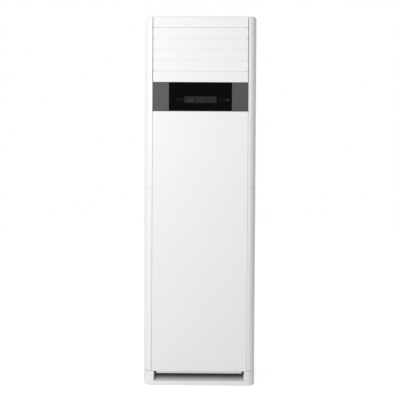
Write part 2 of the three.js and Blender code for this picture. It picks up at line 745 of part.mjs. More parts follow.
function addOutlet() {
  addPart('outlet_frame', outletFrame(), whitePlastic());
  addPart('outlet_duct', outletDuct(), foamWhite());
  louvreHeights.forEach((z, i) => {
    addPart(`louvre_blade_${i + 1}`, louvreBlade(i < louvreCount - 1), whitePlastic())
      .position.set(0, louvreAxisY, z);
  });
  addPart('louvre_link', louvreLink(), darkPlastic());
  addPart('louvre_crank', louvreCrank(), darkPlastic())
    .position.set(0, louvreMotorY, louvreMotorZ);
  const louvreMotor = addPart('louvre_motor', stepper(crankThickness), zincSteel());
  louvreMotor.position.set(-stepperX, louvreMotorY, louvreMotorZ);
  louvreMotor.rotation.y = Math.PI / 2;
  vaneXs.forEach((x, i) => {
    addPart(`vane_${i + 1}`, vane(), whitePlastic()).position.set(x, vaneY, 0);
  });
  addPart('vane_link', vaneLink(), darkPlastic());
}

// ---- side intakes -------------------------------------------------------------------------

const windowRearY = intakeRearY - intakeFrame;
const windowBottom = intakeBottomHeight + intakeFrame;
const windowTop = intakeTopHeight - intakeFrame;
const intakeInnerX = halfWidth - intakeDepth;
const filterInnerX = intakeInnerX - seat - filterThickness;

// Right cassette: rim over the side panel, frame through its window, slats that shed inwards
function intakeGrille() {
  const wall = mouldingWall;
  const y0 = columnRearY - wall;
  const y1 = windowRearY - seat;
  const z0 = windowBottom + seat;
  const z1 = windowTop - seat;
  const columnStrip = common(
    extrudeZ(columnSection(), intakeBottomHeight, intakeTopHeight),
    block(columnX + columnWidth / 2, halfWidth + wall, intakeFrontY, columnRearY + wall,
      intakeBottomHeight - wall, intakeTopHeight + wall));
  const rim = block(sideX + seat, halfWidth, columnRearY - wall / 2, intakeRearY,
    intakeBottomHeight, intakeTopHeight);
  const body = block(intakeInnerX, halfWidth - seat, y0, y1, z0, z1);
  const opening = block(intakeInnerX - wall, halfWidth + wall,
    y0 + wall, y1 - wall, z0 + wall, z1 - wall);
  const frame = cut(join(columnStrip, rim, body), opening);
  const slats = Math.floor((z1 - z0 - 2 * wall) / intakeSlatPitch);
  const firstSlat = (z0 + z1 - slats * intakeSlatPitch) / 2;
  const rise = (intakeDepth - wall) * Math.tan(Math.PI / 5);
  const pieces = Array.from({ length: slats }, (_, i) => {
    const z = firstSlat + (i + 0.5) * intakeSlatPitch - rise / 2;
    return extrudeY(polygon([
      [halfWidth - 1, z], [halfWidth - 1, z + intakeSlatThickness],
      [intakeInnerX + wall - 1, z + rise + intakeSlatThickness], [intakeInnerX + wall - 1, z + rise],
    ]), y0 + wall / 2, y1 - wall / 2);
  });
  return join(frame, ...pieces);
}

// Filter net in its frame, clipped to the inside of the cassette
function intakeFilter() {
  const x1 = intakeInnerX - seat;
  const x0 = x1 - filterThickness;
  const y0 = columnRearY;
  const y1 = windowRearY - 2 * seat;
  const z0 = windowBottom + 2 * seat;
  const z1 = windowTop - 2 * seat;
  const border = 2 * filterThickness;
  const bar = filterThickness;
  const rows = filterRows;
  const cellDepth = (y1 - y0 - 2 * border - bar) / 2;
  const cellHeight = (z1 - z0 - 2 * border - (rows - 1) * bar) / rows;
  const cells = [];
  for (let row = 0; row < rows; row += 1) {
    for (let column = 0; column < 2; column += 1) {
      const y = y0 + border + column * (cellDepth + bar);
      const z = z0 + border + row * (cellHeight + bar);
      cells.push(block(x0 + 1, x1 + 1, y, y + cellDepth, z, z + cellHeight));
    }
  }
  return cut(block(x0, x1, y0, y1, z0, z1), ...cells);
}

function addIntakes() {
  addPart('right_intake_grille', intakeGrille(), whitePlastic());
  addPart('left_intake_grille', mirrored(intakeGrille()), whitePlastic());
  addPart('right_filter', intakeFilter(), darkPlastic());
  addPart('left_filter', mirrored(intakeFilter()), darkPlastic());
}

// ---- blower -------------------------------------------------------------------------------

const scrollEndRadius = filterInnerX - scrollSideGap;
const scrollStartRadius = scrollEndRadius - scrollGrowth;
const wheelRadius = scrollStartRadius - wheelGap;
const inletRadius = wheelRadius - inletInset;
const bellFlangeRadius = inletRadius + bellFlange;
const scrollBackY = scrollFrontY + scrollDepth;
const scrollTop = deckHeight - seat;
const wheelFrontY = scrollFrontY + (scrollDepth - wheelWidth) / 2;
const wheelBackY = wheelFrontY + wheelWidth;
const tongueAngle = THREE.MathUtils.degToRad(scrollTongueAngle);

// Spiral from the tongue clockwise round to the left, then straight up to the outlet
function scrollPath(offset) {
  const turns = 20;
  const sweep = Math.PI + tongueAngle;
  const points = [];
  const start = scrollStartRadius + offset;
  points.push([start * Math.cos(tongueAngle), scrollTop]);
  for (let i = 0; i <= turns; i += 1) {
    const angle = tongueAngle - (i / turns) * sweep;
    const radius = scrollStartRadius + (scrollEndRadius - scrollStartRadius) * i / turns + offset;
    points.push([radius * Math.cos(angle), blowerHeight + radius * Math.sin(angle)]);
  }
  points.push([-(scrollEndRadius + offset), scrollTop]);
  return points;
}

function fanScroll() {
  const outer = extrudeY(polygon(scrollPath(scrollWall)), scrollFrontY, scrollBackY);
  const inner = scrollPath(0);
  inner[0][1] += scrollWall;
  inner[inner.length - 1][1] += scrollWall;
  const hollow = extrudeY(polygon(inner), scrollFrontY + scrollWall, scrollBackY - scrollWall);
  const inlet = rodY(inletRadius, 0, scrollFrontY - scrollWall, scrollFrontY + 2 * scrollWall,
    blowerHeight, 32);
  const motorHole = rodY(motorPlateRadius - 2 * scrollWall, 0, scrollBackY - 2 * scrollWall,
    scrollBackY + scrollWall, blowerHeight, 24);
  return cut(outer, hollow, inlet, motorHole);
}

// Rolled ring that guides the air into the wheel
function bellMouth() {
  const y = scrollFrontY - seat;
  const inner = inletRadius - seat;
  return turned([
    [inner - 3, y], [inner - 5, y + bellLip / 2], [inner - 7, y + bellLip / 2],
    [inner - 6, y], [inner - 2, y - bellLip / 2], [inner + bellLip / 2, y - bellLip / 2],
    [inner + bellLip, y - 2], [bellFlangeRadius, y - 2], [bellFlangeRadius, y],
  ], 0, blowerHeight, 24);
}

function blowerWheel() {
  const ring = cut(rodY(wheelRadius, 0, wheelFrontY, wheelFrontY + wheelRingThickness, 0, 40),
    rodY(wheelRadius - wheelBladeChord, 0, wheelFrontY - 1,
      wheelFrontY + wheelRingThickness + 1, 0, 40));
  const disc = rodY(wheelRadius, 0, wheelBackY - wheelRingThickness, wheelBackY, 0, 40);
  const hub = rodY(wheelHubRadius, 0, wheelBackY - 2 * wheelHubRadius, wheelBackY - 1, 0, 16);
  const blades = Array.from({ length: wheelBlades }, (_, i) => {
    const chord = wheelBladeChord - 2 * wheelRingThickness;
    const blade = block(-chord / 2, chord / 2, wheelFrontY + 1, wheelBackY - 1,
      -wheelBladeThickness / 2, wheelBladeThickness / 2);
    blade.rotateY(THREE.MathUtils.degToRad(wheelBladeAngle));
    blade.translate(wheelRadius - wheelBladeChord / 2, 0, 0);
    return blade.rotateY(i * 2 * Math.PI / wheelBlades);
  });
  const bore = rodY(shaftRadius + holeClearance, 0, wheelFrontY, wheelBackY + 1, 0, 12);
  return cut(join(ring, disc, hub, ...blades), bore);
}

const motorPlateY = scrollBackY + seat;
const motorY = motorPlateY + motorPlateThickness + seat;
const hubFrontY = wheelBackY - 2 * wheelHubRadius;

function fanMotor() {
  const edge = motorRadius / 6;
  const body = turned([
    [0, motorY], [motorRadius, motorY], [motorRadius, motorY + motorLength - edge],
    [motorRadius - edge, motorY + motorLength], [0, motorY + motorLength],
  ], 0, blowerHeight, 28);
  const bore = rodY(shaftRadius + holeClearance, 0, motorY - 1, motorY + motorLength / 2,
    blowerHeight, 12);
  return cut(body, bore);
}

function motorPlate() {
  return cut(
    rodY(motorPlateRadius, 0, motorPlateY, motorPlateY + motorPlateThickness, blowerHeight, 24),
    rodY(wheelHubRadius, 0, motorPlateY - 1, motorY + 1, blowerHeight, 16));
}

// Motor shaft with the nut on its end that holds the wheel
function fanShaft() {
  const front = hubFrontY - seat;
  return join(
    rodY(shaftRadius, 0, front - nutLength, motorY + motorLength / 2 - seat, 0, 12),
    rodY(nutRadius, 0, front - nutLength * 4 / 5, front, 0, 6));
}

function addBlower() {
  addPart('fan_scroll', fanScroll(), whiteSteel());
  addPart('bell_mouth', bellMouth(), whitePlastic());
  addPart('blower_wheel', blowerWheel(), darkPlastic()).position.z = blowerHeight;
  addPart('fan_shaft', fanShaft(), zincSteel()).position.z = blowerHeight;
  addPart('motor_plate', motorPlate(), zincSteel());
  addPart('fan_motor', fanMotor(), zincSteel());
}

// ---- coil chamber -------------------------------------------------------------------------

// Route through rounded corners; its points are the rings of the tube that follows it
class PipeRoute extends THREE.Curve {
  constructor(corners, bend, ringsPerBend) {
    super();
    this.points = [corners[0]];
    for (let i = 1; i < corners.length - 1; i += 1) {
      const into = corners[i - 1].clone().sub(corners[i]).setLength(bend).add(corners[i]);
      const away = corners[i + 1].clone().sub(corners[i]).setLength(bend).add(corners[i]);
      const arc = new THREE.QuadraticBezierCurve3(into, corners[i], away);
      this.points.push(...arc.getPoints(ringsPerBend));
    }
    this.points.push(corners[corners.length - 1]);
  }

  get steps() {
    return this.points.length - 1;
  }

  getPoint(t, target = new THREE.Vector3()) {
    const place = Math.min(Math.max(t, 0), 1) * this.steps;
    const i = Math.min(Math.floor(place), this.steps - 1);
    return target.lerpVectors(this.points[i], this.points[i + 1], place - i);
  }

  getUtoTmapping(u) {
    return u;
  }
}

function tube(radius, corners, bend, sides = 8, ringsPerBend = 4) {
  const route = new PipeRoute(corners, bend, ringsPerBend);
  const section = polygon(Array.from({ length: sides }, (_, i) => {
    const angle = i * 2 * Math.PI / sides;
    return [radius * Math.cos(angle), radius * Math.sin(angle)];
  }));
  return new THREE.ExtrudeGeometry(section, { steps: route.steps, extrudePath: route });
}

const tilt = THREE.MathUtils.degToRad(coilTilt);
const panFloor = deckHeight + sheetThickness + seat + drainPanWall;
const coilFootZ = panFloor + seat + (coilThickness + coilPlateMargin) * Math.sin(tilt);
const coilLength = (ductBottomHeight - coilTopGap - coilFootZ) / Math.cos(tilt);
const liquidX = filterInnerX - pipeSideGap - liquidPipeRadius;
const suctionX = liquidX - liquidPipeRadius - pipeSpacing - suctionPipeRadius;
const coilRightX = suctionX - pipeBend - pipeLead;
const coilLeftX = -innerX + coilSideGap;
const coilWidth = coilRightX - coilPlateThickness - 2 * seat - coilLeftX;
const coilX = coilLeftX + coilWidth / 2;
const drainPanFrontY = coilFootY - coilPlateMargin - drainPanWall - drainPanMargin;
const drainPanRearY = coilFootY + (coilThickness + coilPlateMargin) * Math.cos(tilt)
  + drainPanHeight * Math.tan(tilt) + drainPanWall + 2 * seat;
const deckFrontY = frontY + doorReturn + 8;

// A point of the coil's right end, this far up the coil, in the cabinet's frame
function coilEnd(up) {
  const y = coilThickness / 2;
  return new THREE.Vector3(coilRightX, coilFootY + y * Math.cos(tilt) + up * Math.sin(tilt),
    coilFootZ + up * Math.cos(tilt) - y * Math.sin(tilt));
}

// Pipe from the coil out sideways, down past the blower and back to the hole in the rear
function coilPipe(radius, up, x, height, nutSize) {
  const start = coilEnd(up);
  const end = backY - sheetThickness - seat;
  const route = [
    start,
    new THREE.Vector3(x, start.y, start.z),
    new THREE.Vector3(x, start.y, height),
    new THREE.Vector3(x, end, height),
  ];
  const nut = rodY(nutSize, x, end - 2 * nutSize, end, height, 6);
  return join(tube(radius, route, pipeBend), nut);
}

const suctionEndHeight = pipeHoleBottom + pipeHoleHeight * 7 / 10;
const liquidEndHeight = pipeHoleBottom + pipeHoleHeight / 4;

function fanDeck() {
  const top = deckHeight + sheetThickness;
  const plate = block(-innerX, innerX, columnRearY + seat, backInnerY, deckHeight, top);
  const tongue = block(-columnX + doorSeam, columnX - doorSeam, deckFrontY,
    columnRearY + 2 * seat, deckHeight, top);
  const flange = block(innerX - sheetThickness, innerX, columnRearY + seat, backInnerY,
    deckHeight - deckFlange, top);
  const airHole = block(-scrollEndRadius, scrollStartRadius * Math.cos(tongueAngle),
    scrollFrontY + scrollWall, scrollBackY - scrollWall, deckHeight - deckFlange, top + 1);
  const pipeSlot = (x, radius, y) => block(x - radius - seat, x + radius + seat,
    y - radius - seat, y + radius + seat, deckHeight - 1, top + 1);
  return cut(join(plate, tongue, flange, mirrored(flange)), airHole,
    pipeSlot(suctionX, suctionPipeRadius, coilEnd(suctionUp).y),
    pipeSlot(liquidX, liquidPipeRadius, coilEnd(liquidUp).y));
}

function drainPan() {
  const bottom = deckHeight + sheetThickness + seat;
  const half = coilWidth / 2 + coilPlateThickness + coilBendRadius + coilTubeRadius
    + 2 * drainPanWall;
  const y0 = drainPanFrontY;
  const y1 = drainPanRearY;
  const outer = block(coilX - half, coilX + half, y0, y1, bottom, bottom + drainPanHeight);
  const inner = block(coilX - half + drainPanWall, coilX + half - drainPanWall,
    y0 + drainPanWall, y1 - drainPanWall, bottom + drainPanWall, bottom + drainPanHeight + 1);
  const stubZ = bottom + drainStubRadius;
  const stub = rodX(drainStubRadius, coilX + half - drainPanWall, coilX + half + drainStubLength,
    (y0 + y1) / 2, stubZ);
  const drain = rodX(drainStubRadius - drainPanWall, coilX + half - 2 * drainPanWall,
    coilX + half + drainStubLength + 1, (y0 + y1) / 2, stubZ);
  return cut(join(cut(outer, inner), stub), drain);
}

function coilEndPlate(x0) {
  return block(x0, x0 + coilPlateThickness, -coilPlateMargin, coilThickness + coilPlateMargin,
    0, coilLength);
}

// Left end plate with the return bends of the tubes
function bentEndPlate() {
  const x0 = -coilWidth / 2 - seat - coilPlateThickness;
  const bends = Array.from({ length: coilBends }, (_, i) => {
    const z = (i + 0.5) * coilLength / coilBends;
    const y = coilThickness / 2;
    return tube(coilTubeRadius, [
      new THREE.Vector3(x0 + 1, y, z - coilBendRadius),
      new THREE.Vector3(x0 - coilBendRadius, y, z - coilBendRadius),
      new THREE.Vector3(x0 - coilBendRadius, y, z + coilBendRadius),
      new THREE.Vector3(x0 + 1, y, z + coilBendRadius),
    ], coilBendRadius - 1, 6, 2);
  });
  return join(coilEndPlate(x0), ...bends);
}

function addCoilChamber() {
  addPart('fan_deck', fanDeck(), zincSteel());
  addPart('drain_pan', drainPan(), foamWhite());
  const coil = new THREE.Group();
  coil.position.set(coilX, coilFootY, coilFootZ);
  coil.rotation.x = -tilt;
  cabinet.add(coil);
  addPart('coil_fins', block(-coilWidth / 2, coilWidth / 2, 0, coilThickness, 0, coilLength),
    coilAluminium(), coil);
  addPart('coil_left_plate', bentEndPlate(), zincSteel(), coil);
  addPart('coil_right_plate', coilEndPlate(coilWidth / 2 + seat), zincSteel(), coil);
  addPart('suction_pipe', coilPipe(suctionPipeRadius, suctionUp, suctionX,
    suctionEndHeight, suctionNutRadius), copper());
  addPart('liquid_pipe', coilPipe(liquidPipeRadius, liquidUp, liquidX,
    liquidEndHeight, liquidNutRadius), copper());
}

// ---- controls and small fittings ----------------------------------------------------------

const crossbarY = columnRearY + seat;
const crossbarBottom = doorTopHeight - crossbarHeight;
const boxRearY = crossbarY - seat;
const boxFrontY = boxRearY - boxDepth;
const boxTop = crossbarBottom + crossbarHeight / 2;
const boxBottom = boxTop - boxHeight;

function crossbar() {
  const web = block(-innerX, innerX, crossbarY, crossbarY + crossbarThickness,
    crossbarBottom, crossbarBottom + crossbarHeight);
  const flange = (z0) => block(-innerX, innerX, crossbarY, crossbarY + crossbarDepth,
    z0, z0 + crossbarThickness);
  return join(web, flange(crossbarBottom),
    flange(crossbarBottom + crossbarHeight - crossbarThickness));
}

function electricalBox() {
  const outer = block(boxX - boxWidth / 2, boxX + boxWidth / 2, boxFrontY, boxRearY,
    boxBottom, boxTop);
  const inner = block(boxX - boxWidth / 2 + boxSheet, boxX + boxWidth / 2 - boxSheet,
    boxFrontY - 1, boxRearY - boxSheet, boxBottom + boxSheet, boxTop - boxSheet);
  return cut(outer, inner);
}

function electricalCover() {
  const y1 = boxFrontY - seat;
  const lid = block(boxX - boxWidth / 2, boxX + boxWidth / 2, y1 - boxSheet, y1,
    boxBottom, boxTop);
  const turnedEdge = block(boxX - boxWidth / 2 + 2 * boxSheet, boxX + boxWidth / 2 - 2 * boxSheet,
    y1 - boxSheet / 2, y1 + 4 * boxSheet, boxTop - 3 * boxSheet, boxTop - 2 * boxSheet);
  return join(lid, turnedEdge);
}

function controlBoard() {
  const y1 = boxRearY - boxSheet - seat;
  const y0 = y1 - displayBoardThickness;
  const x0 = boxX - boxWidth / 2 + 2 * boxSheet;
  const x1 = boxX + boxWidth / 8;
  const z0 = boxBottom + 2 * boxSheet;
  const z1 = boxTop - 6 * boxSheet;
  const part = (...pitches) => {
    const [u, v, width, height, proud] = pitches.map((count) => count * boardPitch);
    return block(x0 + u, x0 + u + width, y0 - proud, y0 + displayBoardThickness / 2,
      z0 + v, z0 + v + height);
  };
  return join(block(x0, x1, y0, y1, z0, z1), part(1.2, 1.7, 3, 2.5, 2.2),
    part(5, 2, 1.8, 1.8, 1.3), part(7.8, 1.7, 3.8, 1, 0.8), part(1.3, 6.3, 2.5, 3.7, 1),
    part(5.8, 5.8, 4, 2.5, 1.8));
}

function terminalBlock() {
  const x0 = boxX + boxWidth / 2 - 2 * boxSheet - terminalLength;
  const y1 = boxRearY - boxSheet - seat;
  const z0 = boxBottom + 2 * boxSheet;
  const body = block(x0, x0 + terminalLength, y1 - terminalDepth, y1, z0, z0 + terminalHeight);
  const pitch = terminalLength / terminalPoles;
  const pockets = Array.from({ length: terminalPoles }, (_, i) => block(
    x0 + i * pitch + pitch / 8, x0 + (i + 1) * pitch - pitch / 8, y1 - 2 * terminalDepth,
    y1 - terminalDepth / 2, z0 + terminalHeight / 4, z0 + terminalHeight * 3 / 4));
  return cut(body, ...pockets);
}

function capacitor() {
  const x = boxX + boxWidth / 2 - 3 * boxSheet - capacitorRadius;
  const y = boxRearY - boxSheet - seat - capacitorRadius;
  const z0 = boxBottom + 3 * boxSheet + terminalHeight;
  return rodZ(capacitorRadius, x, y, z0, z0 + capacitorLength, 20);
}

// Rubber ring where the supply cord enters the back panel
function cordGrommet() {
  const inside = backPanelY - sheetThickness - grommetLip;
  const collar = rodY(grommetRadius, grommetX, inside, backY - seat, grommetHeight);
  const lip = rodY(grommetRadius + grommetLip, grommetX, inside,
    backPanelY - sheetThickness - seat, grommetHeight);
  const bore = rodY(grommetHoleRadius, grommetX, inside - 1, backY + 1, grommetHeight);
  return cut(join(collar, lip), bore);
}

// Plate with two slots for the screws that hold the cabinet back to a wall
function wallBracket() {
  const z1 = coverBottom - bracketHeight / 2;
  const z0 = z1 - bracketHeight;
  const plate = block(-bracketWidth / 2, bracketWidth / 2, backY - bracketThickness, backY, z0, z1);
  const slot = (x) => block(x - bracketSlotWidth / 2, x + bracketSlotWidth / 2,
    backY - 2 * bracketThickness, backY + bracketThickness,
    (z0 + z1 - bracketSlotHeight) / 2, (z0 + z1 + bracketSlotHeight) / 2);
  return cut(plate, slot(-bracketWidth / 4), slot(bracketWidth / 4));
}

function vaneStepper() {
  const standBottom = stripBottom + mouldingWall + seat;
  return stepper(vaneStepperTop - standBottom - stepperLength);
}

function addControls() {
  addPart('crossbar', crossbar(), zincSteel());
  addPart('electrical_box', electricalBox(), zincSteel());
  addPart('electrical_cover', electricalCover(), zincSteel());
  addPart('control_board', controlBoard(), boardGreen());
  addPart('terminal_block', terminalBlock(), darkPlastic());
  addPart('fan_capacitor', capacitor(), coilAluminium());
  addPart('cord_grommet', cordGrommet(), rubberBlack());
  addPart('wall_bracket', wallBracket(), zincSteel());
  addPart('vane_motor', vaneStepper(), zincSteel()).position.set(
    vaneXs[Math.floor(vaneCount / 2)], vaneY, stripBottom + mouldingWall + seat + stepperLength);
}

addCasing();
addPart('lower_door', door(), whitePlastic());
addDisplay();
addOutlet();
addIntakes();
addBlower();
addCoilChamber();
addControls();

export default cabinet;
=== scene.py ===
import json
import math

import bmesh
import bpy
from mathutils import Matrix, Vector


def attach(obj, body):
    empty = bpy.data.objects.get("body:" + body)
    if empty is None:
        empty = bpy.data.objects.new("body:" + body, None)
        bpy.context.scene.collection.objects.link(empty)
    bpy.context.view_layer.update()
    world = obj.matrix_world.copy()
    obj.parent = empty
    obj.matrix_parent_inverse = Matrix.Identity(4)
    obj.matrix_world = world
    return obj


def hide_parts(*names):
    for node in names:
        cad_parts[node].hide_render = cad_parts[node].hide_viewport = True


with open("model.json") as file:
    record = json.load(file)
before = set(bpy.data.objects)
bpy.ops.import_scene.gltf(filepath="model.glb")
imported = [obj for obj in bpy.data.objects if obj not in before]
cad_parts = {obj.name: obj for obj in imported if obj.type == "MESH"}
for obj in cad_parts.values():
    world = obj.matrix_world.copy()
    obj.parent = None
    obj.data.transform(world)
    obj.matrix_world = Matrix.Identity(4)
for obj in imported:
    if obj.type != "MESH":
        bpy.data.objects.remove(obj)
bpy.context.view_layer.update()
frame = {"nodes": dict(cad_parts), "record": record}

# ---- sizes of the cabinet, in metres -------------------------------------------------------

CABINET_HALF, FRONT, BACK, HEIGHT = 0.270, -0.1895, 0.1895, 1.776
CORNER_WIDTH, CORNER_DEPTH = 0.038, 0.050
COLUMN, COLUMN_REAR, COLUMN_SPLIT = 0.2305, -0.1175, 0.953
PLINTH, COVER_BOTTOM = 0.070, 1.770
WALL, SEAM, SEAT = 0.003, 0.0006, 0.0003
DOOR_BOTTOM, DOOR_AXIS_Y, DOOR_AXIS_Z = 0.0706, -0.1825, 1.3144
LCD_BOTTOM, LCD_TOP = 1.359, 1.392
KEY_HEIGHT = 1.3755
SILL_TOP, LINTEL_BOTTOM = 1.5096, 1.7216
LOUVRE_HALF, LOUVRE_REACH, LOUVRE_AXIS_Y = 0.2275, 0.02525, -0.181
LOUVRES = [1.69435, 1.64185, 1.58935, 1.53685]
INTAKE_BOTTOM, INTAKE_TOP = 0.105, 0.850
BACK_SHEET, SIDE_SHEET = 0.1872, 0.2685  # outer faces of the rear and side panels


# ---- shader maths --------------------------------------------------------------------------

class Value:
    """A socket that Python's operators work on."""

    def __init__(self, shader, socket):
        self.shader, self.socket = shader, socket

    def maths(self, operation, *others):
        return self.shader.node("ShaderNodeMath", {"operation": operation},
                                [self, *others]).out()

    def __add__(self, other): return self.maths("ADD", other)
    def __radd__(self, other): return self.maths("ADD", other)
    def __sub__(self, other): return self.maths("SUBTRACT", other)
    def __rsub__(self, other): return self.maths("MULTIPLY", -1.0) + other
    def __mul__(self, other): return self.maths("MULTIPLY", other)
    def __rmul__(self, other): return self.maths("MULTIPLY", other)
    def __truediv__(self, other): return self.maths("DIVIDE", other)
    def __gt__(self, other): return self.maths("GREATER_THAN", other)
    def __lt__(self, other): return self.maths("LESS_THAN", other)
    def __abs__(self): return self.maths("ABSOLUTE")
    def __mod__(self, other): return self.maths("FLOORED_MODULO", other)


class Made:
    """A node whose outputs are taken by name."""

    def __init__(self, shader, made):
        self.shader, self.made = shader, made

    def out(self, name=0):
        return Value(self.shader, self.made.outputs[name])


class Nodes:
    """A node tree that grows by one call."""

    def __init__(self, tree):
        self.tree = tree

    def node(self, kind, settings=None, sockets=()):
        made = self.tree.nodes.new(kind)
        for key, value in (settings or {}).items():
            if key == "ramp":
                stops = made.color_ramp.elements
                while len(stops) < len(value):
                    stops.new(0.5)
                for stop, (position, colour) in zip(stops, value):
                    stop.position, stop.color = position, (*colour, 1)
            else:
                setattr(made, key, value)
        pairs = sockets.items() if isinstance(sockets, dict) else enumerate(sockets)
        for key, value in pairs:
            if isinstance(value, Value):
                self.tree.links.new(value.socket, made.inputs[key])
            elif value is not None:
                made.inputs[key].default_value = value
        return Made(self, made)

    def seen(self):
        """1 for the rays that should find a white background, 0 for those that light the object."""
        rays = self.node("ShaderNodeLightPath")
        return (rays.out("Is Camera Ray") + rays.out("Is Glossy Ray")
                + rays.out("Is Transmission Ray")).maths("MINIMUM", 1.0)


class Shader(Nodes):
    """A material's node tree, with one surface shader."""

    def __init__(self, name, colour, roughness, metallic=0.0, **fixed):
        self.material = bpy.data.materials.new(name)
        self.material.use_nodes = True
        self.material.diffuse_color = (*colour, 1)
        super().__init__(self.material.node_tree)
        self.surface = self.tree.nodes["Principled BSDF"]
        for socket, value in {"Base Color": (*colour, 1), "Roughness": roughness,
                              "Metallic": metallic, **fixed}.items():
            self.surface.inputs[socket].default_value = value
        self.place = self.node("ShaderNodeTexCoord").out("Object")

    def feed(self, **sockets):
        for key, value in sockets.items():
            self.tree.links.new(value.socket, self.surface.inputs[key.replace("_", " ")])

    def noise(self, scale, detail=2.0, roughness=0.5, stretch=(1, 1, 1)):
        """Noise in the object's own coordinates."""
        placed = self.node("ShaderNodeMapping", {}, {"Vector": self.place, "Scale": stretch}).out()
        return self.node("ShaderNodeTexNoise", {}, {"Vector": placed, "Scale": scale,
                         "Detail": detail, "Roughness": roughness}).out(0)

    def axis(self, index):
        """One of the object's own coordinates."""
        return self.node("ShaderNodeSeparateXYZ", {}, [self.place]).out(index)

    def blend(self, factor, a, b):
        """Colour between a and b."""
        rgba = [(*c, 1) if isinstance(c, tuple) else c for c in (a, b)]
        made = self.node("ShaderNodeMix", {"data_type": "RGBA"}, {0: factor, 6: rgba[0], 7: rgba[1]})
        return made.out(2)

    def ramp(self, factor, *stops):
        """Colour that runs through the stops (position, colour)."""
        return self.node("ShaderNodeValToRGB", {"ramp": stops}, [factor]).out()

    def between(self, factor, low, high):
        """Number between low and high."""
        return factor * (high - low) + low

    def relief(self, height, distance, strength=1.0):
        """Bump of the given depth in metres."""
        bump = self.node("ShaderNodeBump", {}, {"Strength": strength, "Distance": distance,
                                                "Height": height})
        self.feed(Normal=bump.out())


def moulded_white(name, colour=(0.87, 0.87, 0.868), roughness=0.34):
    """White gloss moulding: fine spark grain and a slow change of gloss over the surface."""
    s = Shader(name, colour, roughness, **{"IOR": 1.46, "Specular IOR Level": 0.3})
    cloud = s.noise(5.0, 2.0)
    grain = s.noise(900.0, 1.0)
    s.feed(Base_Color=s.blend(cloud, tuple(c * 0.985 for c in colour), tuple(c * 1.01 for c in colour)),
           Roughness=s.between(cloud, roughness - 0.06, roughness + 0.06))
    s.relief(grain, 0.00002, 0.35)
    return s.material


def painted_steel(name, colour=(0.80, 0.80, 0.79)):
    """Powder coat on sheet steel: orange peel at a few millimetres."""
    s = Shader(name, colour, 0.42, 0.0, **{"IOR": 1.48})
    peel = s.noise(420.0, 2.0)
    cloud = s.noise(6.0, 3.0)
    s.feed(Base_Color=s.blend(cloud, tuple(c * 0.97 for c in colour), colour),
           Roughness=s.between(peel, 0.34, 0.5))
    s.relief(peel, 0.00006, 0.5)
    return s.material


def grey_band():
    """Satin grey display band."""
    s = Shader("grey band", (0.069, 0.068, 0.067), 0.36, **{"IOR": 1.5, "Specular IOR Level": 0.3})
    cloud = s.noise(14.0, 2.0)
    grain = s.noise(1500.0, 1.0)
    s.feed(Base_Color=s.blend(cloud, (0.066, 0.0655, 0.0645), (0.072, 0.0715, 0.0705)),
           Roughness=s.between(grain, 0.32, 0.42))
    s.relief(grain, 0.00001, 0.3)
    return s.material


def black_glass():
    """Gloss black front of the display."""
    s = Shader("black glass", (0.0012, 0.0012, 0.0014), 0.06,
               **{"IOR": 1.5, "Specular IOR Level": 0.04})
    wipe = s.noise(9.0, 3.0, stretch=(1, 1, 4))
    s.feed(Roughness=s.between(wipe, 0.04, 0.12))
    return s.material


def lcd_face():
    """Liquid crystal window with its faint unlit field."""
    s = Shader("display window", (0.016, 0.016, 0.018), 0.12, **{"IOR": 1.5, "Specular IOR Level": 0.1})
    x, z = s.axis(0), s.axis(2)
    per_metre, field = 1250.0, 0.86
    upright = (x * per_metre % 1.0) > field
    level = (z * per_metre % 1.0) > field
    grid = (upright + level).maths("MINIMUM", 1.0)
    s.feed(Base_Color=s.blend(grid, (0.0145, 0.015, 0.017), (0.019, 0.0195, 0.022)),
           Roughness=s.between(grid, 0.11, 0.17))
    return s.material


def satin_dark(name, colour=(0.03, 0.03, 0.032), roughness=0.45):
    """Black plastic or rubber with a fine grain."""
    s = Shader(name, colour, roughness)
    grain = s.noise(700.0, 2.0)
    cloud = s.noise(12.0, 2.0)
    s.feed(Base_Color=s.blend(cloud, tuple(c * 0.8 for c in colour), tuple(c * 1.2 for c in colour)),
           Roughness=s.between(cloud, roughness - 0.07, roughness + 0.07))
    s.relief(grain, 0.00003, 0.5)
    return s.material


def net_mesh():
    """Fine woven net: threads at 2 mm, the holes between them see-through."""
    s = Shader("filter net", (0.10, 0.115, 0.13), 0.6)
    y, z = s.axis(1), s.axis(2)
    per_metre, thickness = 500.0, 0.34
    warp = (y * per_metre % 1.0) < thickness
    weft = (z * per_metre % 1.0) < thickness
    thread = (warp + weft).maths("MINIMUM", 1.0)
    s.feed(Base_Color=s.blend(warp, (0.085, 0.10, 0.115), (0.125, 0.14, 0.155)), Alpha=thread)
    return s.material


def galvanised():
    """Zinc coat with its spangle."""
    s = Shader("galvanised steel", (0.50, 0.52, 0.53), 0.38, 0.85)
    cells = s.node("ShaderNodeTexVoronoi", {}, {"Vector": s.place, "Scale": 55.0}).out("Color")
    tone = s.node("ShaderNodeSeparateColor", {}, [cells]).out(0)
    cloud = s.noise(30.0, 3.0)
    s.feed(Base_Color=s.blend(tone * 0.7 + cloud * 0.3, (0.42, 0.44, 0.455), (0.58, 0.60, 0.61)),
           Roughness=s.between(tone, 0.30, 0.46))
    return s.material


def finned_aluminium():
    """Pack of thin upright fins, ridged by a bump; the gaps between the fins are painted dark as
    painted shade.
    """
    s = Shader("coil fins", (0.60, 0.62, 0.65), 0.35, 0.85)
    fins = (s.axis(0) * 555.0) % 1.0
    edge = abs(fins - 0.5) * 2.0
    # painted shade: dark colour in the gaps between the fins
    s.feed(Base_Color=s.blend(edge, (0.62, 0.64, 0.67), (0.12, 0.125, 0.13)),
           Roughness=s.between(edge, 0.3, 0.55))
    s.relief(1.0 - edge, 0.0006, 0.8)
    return s.material


